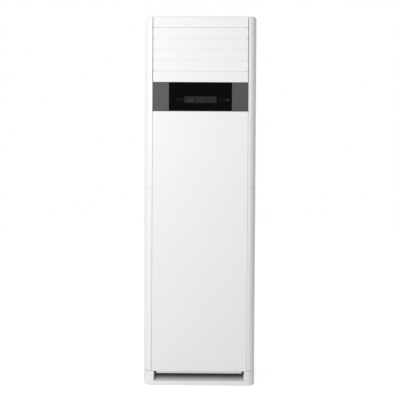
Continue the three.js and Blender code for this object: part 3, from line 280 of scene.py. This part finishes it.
def drawn_copper():
    """Copper tube with a little tarnish."""
    s = Shader("copper tube", (0.70, 0.28, 0.15), 0.28, 1.0)
    tarnish = s.noise(22.0, 4.0, 0.6)
    s.feed(Base_Color=s.ramp(tarnish, (0.3, (0.42, 0.16, 0.085)), (0.6, (0.74, 0.31, 0.17))),
           Roughness=s.between(tarnish, 0.22, 0.45))
    return s.material


def bead_foam():
    """Moulded foam: round beads pressed together."""
    s = Shader("moulded foam", (0.74, 0.74, 0.725), 0.85)
    beads = s.node("ShaderNodeTexVoronoi", {}, {"Vector": s.place, "Scale": 260.0}).out("Distance")
    s.feed(Base_Color=s.blend(beads, (0.76, 0.76, 0.745), (0.66, 0.66, 0.645)))
    s.relief(1.0 - beads, 0.0004, 0.6)
    return s.material


def circuit_board():
    """Green board with paler tracks."""
    s = Shader("circuit board", (0.015, 0.10, 0.045), 0.4)
    tracks = (s.noise(120.0, 0.0, stretch=(1, 1, 3)) * 9.0 % 1.0) > 0.6
    s.feed(Base_Color=s.blend(tracks, (0.012, 0.085, 0.035), (0.03, 0.15, 0.07)),
           Roughness=s.between(tracks, 0.35, 0.5))
    return s.material


def recess_painted_shade():
    """Colour of the sheet in the toe recess: white at its front edge, painted darker to the back as
    painted shade.
    """
    s = Shader("recess painted shade", (0.45, 0.45, 0.445), 0.55)
    cloud = s.noise(60.0, 3.0)
    # painted shade: the colour darkens with height, towards the back of the recess where shade falls
    depth = (s.axis(2) - 0.020) / 0.04 + (cloud - 0.5) * 0.03
    s.feed(Base_Color=s.ramp(depth, (0.08, (0.82, 0.82, 0.81)), (0.17, (0.55, 0.55, 0.54)),
                             (0.3, (0.24, 0.24, 0.236)), (0.46, (0.11, 0.11, 0.108)),
                             (0.75, (0.06, 0.06, 0.059))),
           Roughness=s.between(cloud, 0.45, 0.65))
    return s.material


def print_grey(name, shade):
    """Thin print on the black glass."""
    s = Shader(name, (shade, shade, shade * 1.02), 0.35, **{"Specular IOR Level": 0.2})
    film = s.noise(2500.0, 1.0)
    s.feed(Base_Color=s.blend(film, (shade * 0.9,) * 3, (shade * 1.1,) * 3))
    return s.material


WHITE = moulded_white("white moulding")
BLADE_WHITE = moulded_white("white blade", roughness=0.38)
STEEL = painted_steel("white powder coat")
GREY = grey_band()
GLASS = black_glass()
LCD = lcd_face()
DARK = satin_dark("black plastic")
NET = net_mesh()
ZINC = galvanised()
FINS = finned_aluminium()
COPPER = drawn_copper()
FOAM = bead_foam()
RUBBER = satin_dark("black rubber", (0.016, 0.016, 0.016), 0.75)
BOARD = circuit_board()
# colour of the toe recess: painted shade, darker towards its back
RECESS_SHADE = recess_painted_shade()
KEY_PRINT = print_grey("key print", 0.009)
SEGMENTS = print_grey("unlit segments", 0.021)
LENS = print_grey("receiver lens", 0.0065)

FINISH = {"white_plastic": WHITE, "white_steel": STEEL, "grey_band": GREY, "black_glass": GLASS,
          "dark_plastic": DARK, "net": NET, "zinc_steel": ZINC, "coil_aluminium": FINS,
          "copper": COPPER, "foam": FOAM, "rubber": RUBBER, "board": BOARD}

# ---- shaping helpers -----------------------------------------------------------------------

def soften(piece, width, segments=2, angle=32.0):
    """Welds a piece, rounds its sharp edges and shades it smooth."""
    mesh = piece.data
    for extra in [a.name for a in mesh.attributes if a.name == "custom_normal"]:
        mesh.attributes.remove(mesh.attributes[extra])
    mesh.shade_smooth()
    weld = piece.modifiers.new("weld", "WELD")
    weld.merge_threshold = 0.000002
    flat = piece.modifiers.new("flat", "DECIMATE")
    flat.decimate_type, flat.angle_limit = "DISSOLVE", math.radians(0.4)
    if width:
        edge = piece.modifiers.new("edge", "BEVEL")
        edge.width, edge.segments, edge.limit_method = width, segments, "ANGLE"
        edge.angle_limit, edge.use_clamp_overlap, edge.harden_normals = math.radians(angle), True, True
    else:
        crease = piece.modifiers.new("crease", "EDGE_SPLIT")
        crease.split_angle = math.radians(angle)


class Piece:
    """Closed shells gathered into one object."""

    def __init__(self, name, material, body, slot, *stands_for):
        self.name, self.material, self.body, self.slot = name, material, body, slot
        self.stands_for = stands_for
        self.shape = bmesh.new()

    def loft(self, rings):
        """Closed skin through equal rings of points, capped at both ends."""
        rows = [[self.shape.verts.new(p) for p in ring] for ring in rings]
        count = len(rows[0])
        for a, b in zip(rows, rows[1:]):
            for i in range(count):
                j = (i + 1) % count
                self.shape.faces.new((a[i], a[j], b[j], b[i]))
        self.shape.faces.new(rows[0][::-1])
        self.shape.faces.new(rows[-1])
        return self

    def prism(self, outline, low, high, axis="z"):
        """Outline of two coordinates, drawn out along an axis."""
        place = {"z": lambda u, v, w: (u, v, w), "x": lambda u, v, w: (w, u, v),
                 "y": lambda u, v, w: (u, w, v)}[axis]
        return self.loft([[place(u, v, w) for u, v in outline] for w in (low, high)])

    def block(self, x0, x1, y0, y1, z0, z1):
        return self.prism([(x0, y0), (x1, y0), (x1, y1), (x0, y1)], z0, z1)

    def rod(self, radius, start, end, sides=24):
        """Round bar between two points."""
        start, end = Vector(start), Vector(end)
        turn = (end - start).to_track_quat("Z", "Y")
        ring = [Vector((math.cos(a), math.sin(a), 0)) * radius
                for a in (i * 2 * math.pi / sides for i in range(sides))]
        return self.loft([[start + turn @ p for p in ring], [end + turn @ p for p in ring]])

    def cut(self, *tools):
        """Takes other pieces' shells out of this one."""
        whole = self.bare()
        for tool in tools:
            taken = tool.bare()
            away = whole.modifiers.new("away", "BOOLEAN")
            away.operation, away.solver, away.object = "DIFFERENCE", "EXACT", taken
            away.use_self = True
        bpy.context.view_layer.update()
        made = bpy.data.meshes.new_from_object(whole.evaluated_get(
            bpy.context.evaluated_depsgraph_get()))
        for spare in [m.object for m in whole.modifiers] + [whole]:
            bpy.data.objects.remove(spare)
        self.shape = bmesh.new()
        self.shape.from_mesh(made)
        return self

    def take(self, other):
        """Adds another piece's shells to this one."""
        spare = other.bare()
        self.shape.from_mesh(spare.data)
        bpy.data.objects.remove(spare)
        return self

    def bare(self):
        bmesh.ops.recalc_face_normals(self.shape, faces=self.shape.faces)
        mesh = bpy.data.meshes.new(self.name)
        self.shape.to_mesh(mesh)
        self.shape.free()
        made = bpy.data.objects.new(self.name, mesh)
        bpy.context.scene.collection.objects.link(made)
        return made

    def done(self, width=0.0006, segments=2, angle=32.0):
        made = self.bare()
        made.data.materials.append(self.material)
        soften(made, width, segments, angle)
        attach(made, self.body)
        if self.stands_for:
            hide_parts(*self.stands_for)
        return made


def mirror(points):
    return [(-x, y) for x, y in points]


# ---- dress the CAD nodes -------------------------------------------------------------------

# Width of the rounded edges; 0 keeps an edge sharp
EDGE = {"top_cover": 0.0012, "front_plinth": 0.0012, "lower_door": 0.0014, "display_bezel": 0.0008,
        "display_glass": 0.0004, "back_panel": 0.0003, "connection_plate": 0.0003,
        "right_side_panel": 0.0004, "left_side_panel": 0.0004, "outlet_frame": 0.0,
        "fan_deck": 0.0, "crossbar": 0.0, "coil_right_plate": 0.0,
        "display_board": 0.0, "terminal_block": 0.0,
        "wall_bracket": 0.0004, "outlet_duct": 0.003, "drain_pan": 0.0008, "coil_fins": 0.0,
        "right_filter": 0.0, "left_filter": 0.0, "control_board": 0.0, "blower_wheel": 0.0,
        "fan_scroll": 0.0, "bell_mouth": 0.0, "suction_pipe": 0.0, "liquid_pipe": 0.0,
        "fan_motor": 0.0008, "coil_left_plate": 0.0}
BLADES = [f"louvre_blade_{i}" for i in range(1, 5)]
FINISH_OF = {"lcd_window": LCD, "receiver_window": LENS, **dict.fromkeys(BLADES, BLADE_WHITE)}
EDGE.update(dict.fromkeys(BLADES, 0.0))
slots = {part["node"]: part["material_slot"] for part in frame["record"]["subparts"]}
for name, node in frame["nodes"].items():
    node.data.materials.clear()
    node.data.materials.append(FINISH_OF.get(name, FINISH[slots[name]]))
    soften(node, EDGE.get(name, 0.0008))


# ---- fine casing ---------------------------------------------------------------------------

def corner_arc(inset, steps=20):
    """Rounded right front corner from the front face round to the side."""
    width, depth = CORNER_WIDTH - inset, CORNER_DEPTH - inset
    x, y = CABINET_HALF - CORNER_WIDTH, FRONT + CORNER_DEPTH
    return [(x + width * math.sin(t), y - depth * math.cos(t))
            for t in (i * math.pi / 2 / steps for i in range(steps + 1))]


def column_outline():
    """Section of the right column seen from above: flange, rounded corner, side."""
    inner = [(x, y) for x, y in corner_arc(WALL) if x > COLUMN + WALL + SEAM]
    return [(COLUMN, FRONT + 0.024), (COLUMN, FRONT), *corner_arc(0),
            (CABINET_HALF, COLUMN_REAR), (CABINET_HALF - WALL, COLUMN_REAR),
            *inner[::-1], (COLUMN + WALL, FRONT + WALL), (COLUMN + WALL, FRONT + 0.024)]


def front_outline(inset, rear):
    """Outline of the cabinet's front from above, with both rounded corners."""
    right = [*corner_arc(inset), (CABINET_HALF - inset, rear)]
    return mirror(right[::-1]) + right


def columns():
    """Corner columns in two halves, with the intake's notch and the pins' bores."""
    for side, sign in (("right", 1), ("left", -1)):
        outline = [(sign * x, y) for x, y in column_outline()]
        notch_x = sorted((sign * (COLUMN + 0.01975), sign * (CABINET_HALF + WALL)))
        notch_front, bore = -0.1521, 0.0028
        lower = Piece(f"{side}_column_lower_skin", WHITE, "cabinet", "white_plastic",
                      f"{side}_column_lower")
        lower.prism(outline, PLINTH + 3 * SEAM, COLUMN_SPLIT - SEAM / 2)
        lower.cut(Piece("notch", None, None, None).block(
            *notch_x, notch_front, COLUMN_REAR + WALL,
            INTAKE_BOTTOM - 2 * SEAM, INTAKE_TOP + 2 * SEAM)).done(0.0007)
        upper = Piece(f"{side}_column_upper_skin", WHITE, "cabinet", "white_plastic",
                      f"{side}_column_upper")
        upper.prism(outline, COLUMN_SPLIT + SEAM / 2, COVER_BOTTOM - SEAT)
        bores = [Piece("bore", None, None, None).rod(
            bore, (sign * (COLUMN - WALL), y, z), (sign * (COLUMN + 2 * WALL), y, z))
            for y, z in [(LOUVRE_AXIS_Y, z) for z in LOUVRES] + [(DOOR_AXIS_Y, DOOR_AXIS_Z)]]
        upper.cut(*bores).done(0.0007)


def top_cover():
    """Thin cap over the whole cabinet, rounded along its upper edge and hollow below."""
    cap = Piece("top_cover_skin", WHITE, "cabinet", "white_plastic", "top_cover")
    turn, rear = 0.0056, BACK - 0.0002
    rings = [(COVER_BOTTOM, 0.0)]
    rings += [(HEIGHT - turn * (1 - math.sin(t)), turn * (1 - math.cos(t)))
              for t in (i * math.pi / 2 / 7 for i in range(8))]
    cap.loft([[(x, y, z) for x, y in front_outline(inset, rear - inset * 0.3)] for z, inset in rings])
    cap.cut(Piece("hollow", None, None, None).prism(
        front_outline(WALL + 0.001, BACK - WALL - 0.001), COVER_BOTTOM - 0.002,
        HEIGHT - 0.0032)).done(0.0002, 1, 40)


def intake_cassettes():
    """Side intakes: strip that carries on the column, rim, frame and slats that shed inwards."""
    for side, sign in (("right", 1), ("left", -1)):
        piece = Piece(f"{side}_intake_skin", WHITE, f"{side}_intake", "white_plastic",
                      f"{side}_intake_grille")
        z0, z1 = INTAKE_BOTTOM, INTAKE_TOP
        strip_front, strip_rear = -0.1515, -0.1145
        well_front, well_rear, wall = -0.1205, 0.0602, 0.003
        rim_inside, inset = sign * 0.2688, 0.0123
        section = [(x, y) for x, y in corner_arc(0) if y > strip_front]
        inner = [(x, y) for x, y in corner_arc(WALL) if y > strip_front]
        strip = [*section, (CABINET_HALF, strip_rear), (CABINET_HALF - WALL, strip_rear), *inner[::-1]]
        piece.prism([(sign * x, y) for x, y in strip], z0, z1)
        low, high = sorted((rim_inside, sign * CABINET_HALF))
        rim = Piece("rim", None, None, None).block(low, high, -0.119, 0.0725, z0, z1)
        window = Piece("window", None, None, None).block(
            sign * CABINET_HALF - wall, sign * CABINET_HALF + wall, well_front + wall,
            well_rear - wall, z0 + inset + wall, z1 - inset - wall)
        piece.take(rim.cut(window))
        x0, x1 = sorted((sign * 0.254, sign * 0.2697))
        for y in (well_front, well_rear - wall):
            piece.block(x0, x1, y, y + wall, z0 + inset, z1 - inset)
        for z in (z0 + inset, z1 - inset - wall):
            piece.block(x0, x1, well_front, well_rear, z, z + wall)
        count, pitch, rise = 28, 0.025, 0.0047
        outer, knee, inside = sign * 0.2690, sign * 0.2625, sign * 0.2560
        first = (z0 + z1) / 2 - count * pitch / 2
        for i in range(count):
            z = first + (i + 0.5) * pitch - rise
            piece.loft([[(outer, y, z), (outer, y, z + 0.0016),
                         (knee, y, z + 0.0060), (inside, y, z + 0.0114),
                         (inside, y, z + 0.0094), (knee, y, z + 0.0042)]
                        for y in (-0.119, 0.0587)])
        stay_front, stay_rear = -0.0325, -0.0295
        piece.block(*sorted((sign * 0.2565, sign * 0.2680)), stay_front, stay_rear,
                    z0 + 0.014, z1 - 0.014)
        piece.done(0.0005)


def seam_ribs():
    """Ribs that fill the depth of the seams over, between and under the blades."""
    half, fill, root = LOUVRE_HALF - 0.006, 0.0017, 0.0005
    front, rear = -0.1878, -0.1846
    for number, z in enumerate(LOUVRES[:3], 1):
        edge = z - LOUVRE_REACH
        rib = Piece(f"louvre_rib_{number}", BLADE_WHITE, f"louvre_{number}", "white_plastic")
        rib.block(-half, half, front, rear, edge - fill, edge + root).done(0.0)
    sill = Piece("outlet_sill_rib", WHITE, "cabinet", "white_plastic")
    sill.block(-half, half, front, rear, SILL_TOP - root, SILL_TOP + fill).done(0.0)
    lintel = Piece("outlet_lintel_rib", WHITE, "cabinet", "white_plastic")
    lintel.block(-half, half, -0.1887, -0.1874, LINTEL_BOTTOM - 0.00115,
                 LINTEL_BOTTOM + 0.0003).done(0.0)


def door_seals():
    """Soft edge strips on the columns, which narrow the gap beside the door below its pins."""
    for side, sign in (("right", 1), ("left", -1)):
        strip = Piece(f"{side}_door_seal", WHITE, "cabinet", "white_plastic")
        door_side, front, rear = sign * 0.2294, -0.1887, -0.1700
        strip.block(*sorted((door_side, sign * (COLUMN + 0.0002))), front, rear,
                    DOOR_BOTTOM + 0.001, DOOR_AXIS_Z - 0.004).done(0.0003)


def toe_recess():
    """Thin sheet that follows the curve of the recess under the door, to carry the recess's painted
    shade.
    """
    centre_y, centre_z, deep, tall, half = -0.188, 0.066, 0.0485, 0.044, 0.2156

    def curve(inset):
        return [(centre_y + (deep - inset) * math.sin(t), centre_z - (tall - inset) * math.cos(t))
                for t in (i * math.pi / 2 / 28 for i in range(29))]

    # this sheet carries painted shade: darker towards the back of the recess
    lining = Piece("toe_recess_painted_shade", RECESS_SHADE, "cabinet", "white_plastic")
    lining.prism(curve(0.0002) + curve(0.0008)[::-1], -half, half, "x").done(0.0)


# Front and rear of the marks on the glass
SEGMENT_LAYER, KEY_LAYER = (-0.18928, -0.1891), (-0.18932, -0.18915)
KEYS_WITH_ARROW, KEYS_WITH_BAR = ((-0.106, 1), (-0.086, -1)), (0.096, 0.115)
KEY_RING, KEY_BAR_HALF = (0.0058, 0.0067), 0.0005


def segment_bar(piece, x, z, long, thick, upright):
    """Flat bar with pointed ends, as in a seven-segment digit."""
    a, b = long / 2, thick / 2
    shape = [(-a, 0), (-a + b, -b), (a - b, -b), (a, 0), (a - b, b), (-a + b, b)]
    if upright:
        shape = [(-v, u) for u, v in shape]
    piece.prism([(x + u, z + v) for u, v in shape], *SEGMENT_LAYER, "y")


def display_face():
    """Marks on the black front: unlit digits and bars, and touch keys."""
    unlit = Piece("unlit_segments", SEGMENTS, "cabinet", "black_glass")
    middle = (LCD_BOTTOM + LCD_TOP) / 2
    for x in (-0.0085, 0.0085):
        for z in (-0.0105, 0, 0.0105):
            segment_bar(unlit, x, middle + z, 0.0092, 0.0017, False)
        for side in (-0.0052, 0.0052):
            for z in (-0.00525, 0.00525):
                segment_bar(unlit, x + side, middle + z, 0.0096, 0.0017, True)
    for i in range(5):
        unlit.block(-0.066 + i * 0.0062, -0.0616 + i * 0.0062, *SEGMENT_LAYER,
                    middle - 0.010, middle - 0.0066 + i * 0.0034)
    for i in range(3):
        for z in (-0.009, 0.0, 0.009):
            segment_bar(unlit, 0.038 + i * 0.013, middle + z, 0.0095, 0.0022, False)
    unlit.done(0.0)
    keys = Piece("touch_key_marks", KEY_PRINT, "cabinet", "black_glass")
    inner, outer = KEY_RING
    for x in (*(x for x, tilt in KEYS_WITH_ARROW), *KEYS_WITH_BAR):
        ring = [(math.cos(t), math.sin(t)) for t in (i * math.pi / 16 for i in range(32))]
        for a, b in zip(ring, ring[1:] + ring[:1]):
            keys.prism([(x + u * r, KEY_HEIGHT + v * r) for (u, v), r in
                        ((a, inner), (b, inner), (b, outer), (a, outer))], *KEY_LAYER, "y")
    for x, tilt in KEYS_WITH_ARROW:
        base, tip = KEY_HEIGHT - tilt * 0.0014, KEY_HEIGHT + tilt * 0.0022
        keys.prism([(x - 0.0026, base), (x + 0.0026, base), (x, tip)], *KEY_LAYER, "y")
    for x in KEYS_WITH_BAR:
        left, right = x - KEY_BAR_HALF, x + KEY_BAR_HALF
        base, tip = KEY_HEIGHT - KEY_BAR_HALF, KEY_HEIGHT + 0.0028
        keys.prism([(left, base), (right, base), (right, tip), (left, tip)], *KEY_LAYER, "y")
    keys.done(0.0)


def pan_head(piece, at, out, radius=0.0042, rise=0.0015):
    """Low domed screw head that stands on a sheet."""
    at, out = Vector(at), Vector(out)
    turn = out.to_track_quat("Z", "Y")
    rings = []
    for height, wide in ((-0.0003, 1.0), (rise * 0.35, 1.0), (rise * 0.75, 0.86), (rise, 0.55)):
        reach = radius * wide
        rings.append([at + turn @ Vector((math.cos(t) * reach, math.sin(t) * reach, height))
                      for t in (i * math.pi / 9 for i in range(18))])
    piece.loft(rings)


def cross_slot(piece, at, out, radius=0.0042, rise=0.0015):
    """Cross recess of a pan head."""
    at, out = Vector(at), Vector(out)
    turn = out.to_track_quat("Z", "Y")
    for spin in (0, 1):
        ring = [(-radius * 0.55, -radius * 0.11), (radius * 0.55, -radius * 0.11),
                (radius * 0.55, radius * 0.11), (-radius * 0.55, radius * 0.11)]
        ring = [(-v, u) if spin else (u, v) for u, v in ring]
        piece.loft([[at + turn @ Vector((u, v, h)) for u, v in ring]
                    for h in (rise * 0.3, rise + 0.0005)])


def casing_screws():
    """Screws of the back, connection plate, side panels and bracket."""
    places = []
    for x in (-0.258, 0.258):
        places += [((x, BACK_SHEET, z), (0, 1, 0)) for z in (0.290, 0.640, 0.990, 1.340, 1.690)]
        places += [((x, BACK_SHEET, z), (0, 1, 0)) for z in (0.030, 0.240)]
    places += [((x, BACK_SHEET, z), (0, 1, 0))
               for x in (-0.13, 0.0, 0.13) for z in (0.283, 1.760, 0.014)]
    for side in (-1, 1):
        places += [((side * SIDE_SHEET, 0.176, z), (side, 0, 0))
                   for z in (0.05, 0.48, 0.91, 1.34, 1.73)]
    heads = Piece("casing_screws", ZINC, "cabinet", "zinc_steel")
    slots_cut = Piece("slots", None, None, None)
    for at, out in places:
        pan_head(heads, at, out, rise=0.0012 if out[0] else 0.0015)
        cross_slot(slots_cut, at, out, rise=0.0012 if out[0] else 0.0015)
    heads.cut(slots_cut).done(0.0)


def bead(piece, start, end, out, width=0.011, height=0.0013):
    """Pressed stiffening bead: a low half-round ridge with run-out ends."""
    start, end, out = Vector(start), Vector(end), Vector(out)
    along = (end - start).normalized()
    across = out.cross(along)
    rings = []
    run = [(-1.0, 0.0), (-0.86, 0.5), (-0.6, 0.8), (-0.3, 0.96), (0.0, 1.0)]
    for base, steps in ((start, run), (end, [(-u, v) for u, v in run[::-1]])):
        for step, swell in steps:
            middle = base + along * step * width
            wide = max(swell, 0.05) * width / 2
            tall = max(swell, 0.02) * height
            rings.append([middle + across * wide * math.cos(t) + out * tall * max(math.sin(t), -0.15)
                          for t in (i * math.pi / 8 for i in range(16))])
    piece.loft(rings)


def back_beads():
    """Stiffening beads pressed into the back panel."""
    beads = Piece("back_beads", STEEL, "cabinet", "white_steel")
    for x in (-0.19, 0.19):
        for z0, z1 in ((0.345, 0.955), (1.005, 1.635)):
            bead(beads, (x, BACK_SHEET, z0), (x, BACK_SHEET, z1), (0, 1, 0))
    for z in (0.345, 0.65, 0.955, 1.005, 1.32, 1.635):
        bead(beads, (-0.155, BACK_SHEET, z), (0.155, BACK_SHEET, z), (0, 1, 0))
    beads.done(0.0, angle=50)


def filters():
    """Dust filters: moulded frame with cross bars, and the net that it holds."""
    for side, sign in (("right", 1), ("left", -1)):
        x0, x1 = sorted((sign * 0.2498, sign * 0.2536))
        y0, y1, z0, z1 = -0.1173, 0.0597, 0.1178, 0.8372
        frame_bars = Piece(f"{side}_filter_frame", DARK, f"{side}_intake", "dark_plastic",
                           f"{side}_filter")
        rim, bar, grip_half, grip_tall, net_half = 0.007, 0.0015, 0.016, 0.008, 0.0002
        frame_bars.block(x0, x1, y0, y0 + rim, z0, z1).block(x0, x1, y1 - rim, y1, z0, z1)
        frame_bars.block(x0, x1, y0 + 0.001, y1 - 0.001, z0, z0 + rim)
        frame_bars.block(x0, x1, y0 + 0.001, y1 - 0.001, z1 - rim, z1)
        thin0, thin1 = x0 + 0.0006, x1 - 0.0006
        middle = (y0 + y1) / 2
        frame_bars.block(thin0, thin1, middle - bar, middle + bar, z0 + 0.001, z1 - 0.001)
        for i in range(1, 8):
            z = z0 + (z1 - z0) * i / 8
            frame_bars.block(thin0, thin1, y0 + 0.001, y1 - 0.001, z - bar, z + bar)
        for z in (z0 + 0.09, z1 - 0.09):
            grip = [(middle + grip_half * math.cos(t), z + grip_tall * math.sin(t))
                    for t in (i * math.pi / 12 for i in range(24))]
            frame_bars.prism(grip, thin0 - 0.0002, thin1 + 0.0002, "x")
        frame_bars.done(0.0005)
        net = Piece(f"{side}_filter_net", NET, f"{side}_intake", "net", f"{side}_filter")
        centre = (x0 + x1) / 2
        net.block(centre - net_half, centre + net_half, y0 + 0.003, y1 - 0.003, z0 + 0.003, z1 - 0.003)
        net.done(0.0)


def cover_details():
    """Screws and pressed cooling louvres of the electrical cover."""
    y = -0.165  # outer face of the cover
    long, pitch = 0.075, 0.016
    louvres = Piece("cover_louvres", ZINC, "cabinet", "zinc_steel")
    for row in range(6):
        z = 1.165 + row * pitch
        for x in (-0.150, -0.020):
            section = [(y + 0.0004, z - 0.004), (y - 0.0024, z - 0.0038), (y - 0.0028, z - 0.0030),
                       (y - 0.0010, z + 0.0030), (y + 0.0004, z + 0.0042)]
            louvres.prism(section, x, x + long, "x")
    louvres.done(0.0003)
    heads = Piece("cover_screws", ZINC, "cabinet", "zinc_steel")
    recess = Piece("slots", None, None, None)
    for x in (-0.197, -0.07, 0.057):
        for z in (1.118, 1.296):
            pan_head(heads, (x, y, z), (0, -1, 0))
            cross_slot(recess, (x, y, z), (0, -1, 0))
    heads.cut(recess).done(0.0)


# ---- floor, surroundings, lights and camera ------------------------------------------------

DAYLIGHT = 0.45  # strength of the surroundings for what they light


def floor():
    """Pale floor that the camera sees as white, and that keeps the cabinet's shadow."""
    shape = bmesh.new()
    rim = [shape.verts.new((14 * math.cos(t), 14 * math.sin(t), 0))
           for t in (i * math.pi / 24 for i in range(48))]
    shape.faces.new(rim)
    mesh = bpy.data.meshes.new("floor")
    shape.to_mesh(mesh)
    made = bpy.data.objects.new("floor", mesh)
    bpy.context.scene.collection.objects.link(made)
    s = Shader("floor", (0.65, 0.65, 0.65), 0.9)
    bare = Value(s, s.surface.outputs[0])
    glow = s.node("ShaderNodeEmission", {}, {"Color": (1, 1, 1, 1), "Strength": 0.7}).out()
    lit = s.node("ShaderNodeAddShader", {}, [bare, glow]).out()
    mixed = s.node("ShaderNodeMixShader", {}, [s.seen(), bare, lit]).out()
    s.tree.links.new(mixed.socket, s.tree.nodes["Material Output"].inputs["Surface"])
    mesh.materials.append(s.material)


def studio():
    """Even white surroundings."""
    world = bpy.data.worlds.new("studio")
    bpy.context.scene.world = world
    world.use_nodes = True
    air = Nodes(world.node_tree)
    sky = world.node_tree.nodes["Background"]
    sky.inputs["Color"].default_value = (1, 1, 1, 1)
    strength = air.seen() * (1 - DAYLIGHT) + DAYLIGHT
    world.node_tree.links.new(strength.socket, sky.inputs["Strength"])


def softbox(name, place, target, size, energy):
    """Rectangular area light that faces its target."""
    lamp = bpy.data.lights.new(name, "AREA")
    lamp.shape, lamp.size, lamp.size_y, lamp.energy = "RECTANGLE", size[0], size[1], energy
    made = bpy.data.objects.new(name, lamp)
    made.location = place
    made.rotation_euler = (Vector(target) - Vector(place)).to_track_quat("-Z", "Y").to_euler()
    bpy.context.scene.collection.objects.link(made)


columns()
top_cover()
intake_cassettes()
seam_ribs()
door_seals()
toe_recess()
display_face()
casing_screws()
back_beads()
filters()
cover_details()
floor()
studio()
softbox("key light", (-1.7, -3.3, 2.3), (0, 0, 0.95), (1.6, 1.6), 88)
softbox("rim light", (-1.0, 1.4, 2.8), (0, 0, 1.2), (1.2, 1.2), 12)

eye = bpy.data.cameras.new("camera")
eye.sensor_width, eye.lens = 36.0, 56.35
camera = bpy.data.objects.new("camera", eye)
bpy.context.scene.collection.objects.link(camera)
camera.location = (0.0147, -3.1946, 0.9316)
camera.rotation_euler = (Matrix.Rotation(math.radians(0.268), 3, "Z")
                         @ Matrix.Rotation(math.radians(90 - 0.703), 3, "X")
                         @ Matrix.Rotation(math.radians(0.318), 3, "Z")).to_euler()
bpy.context.scene.camera = camera
bpy.context.scene.view_settings.view_transform = "Standard"
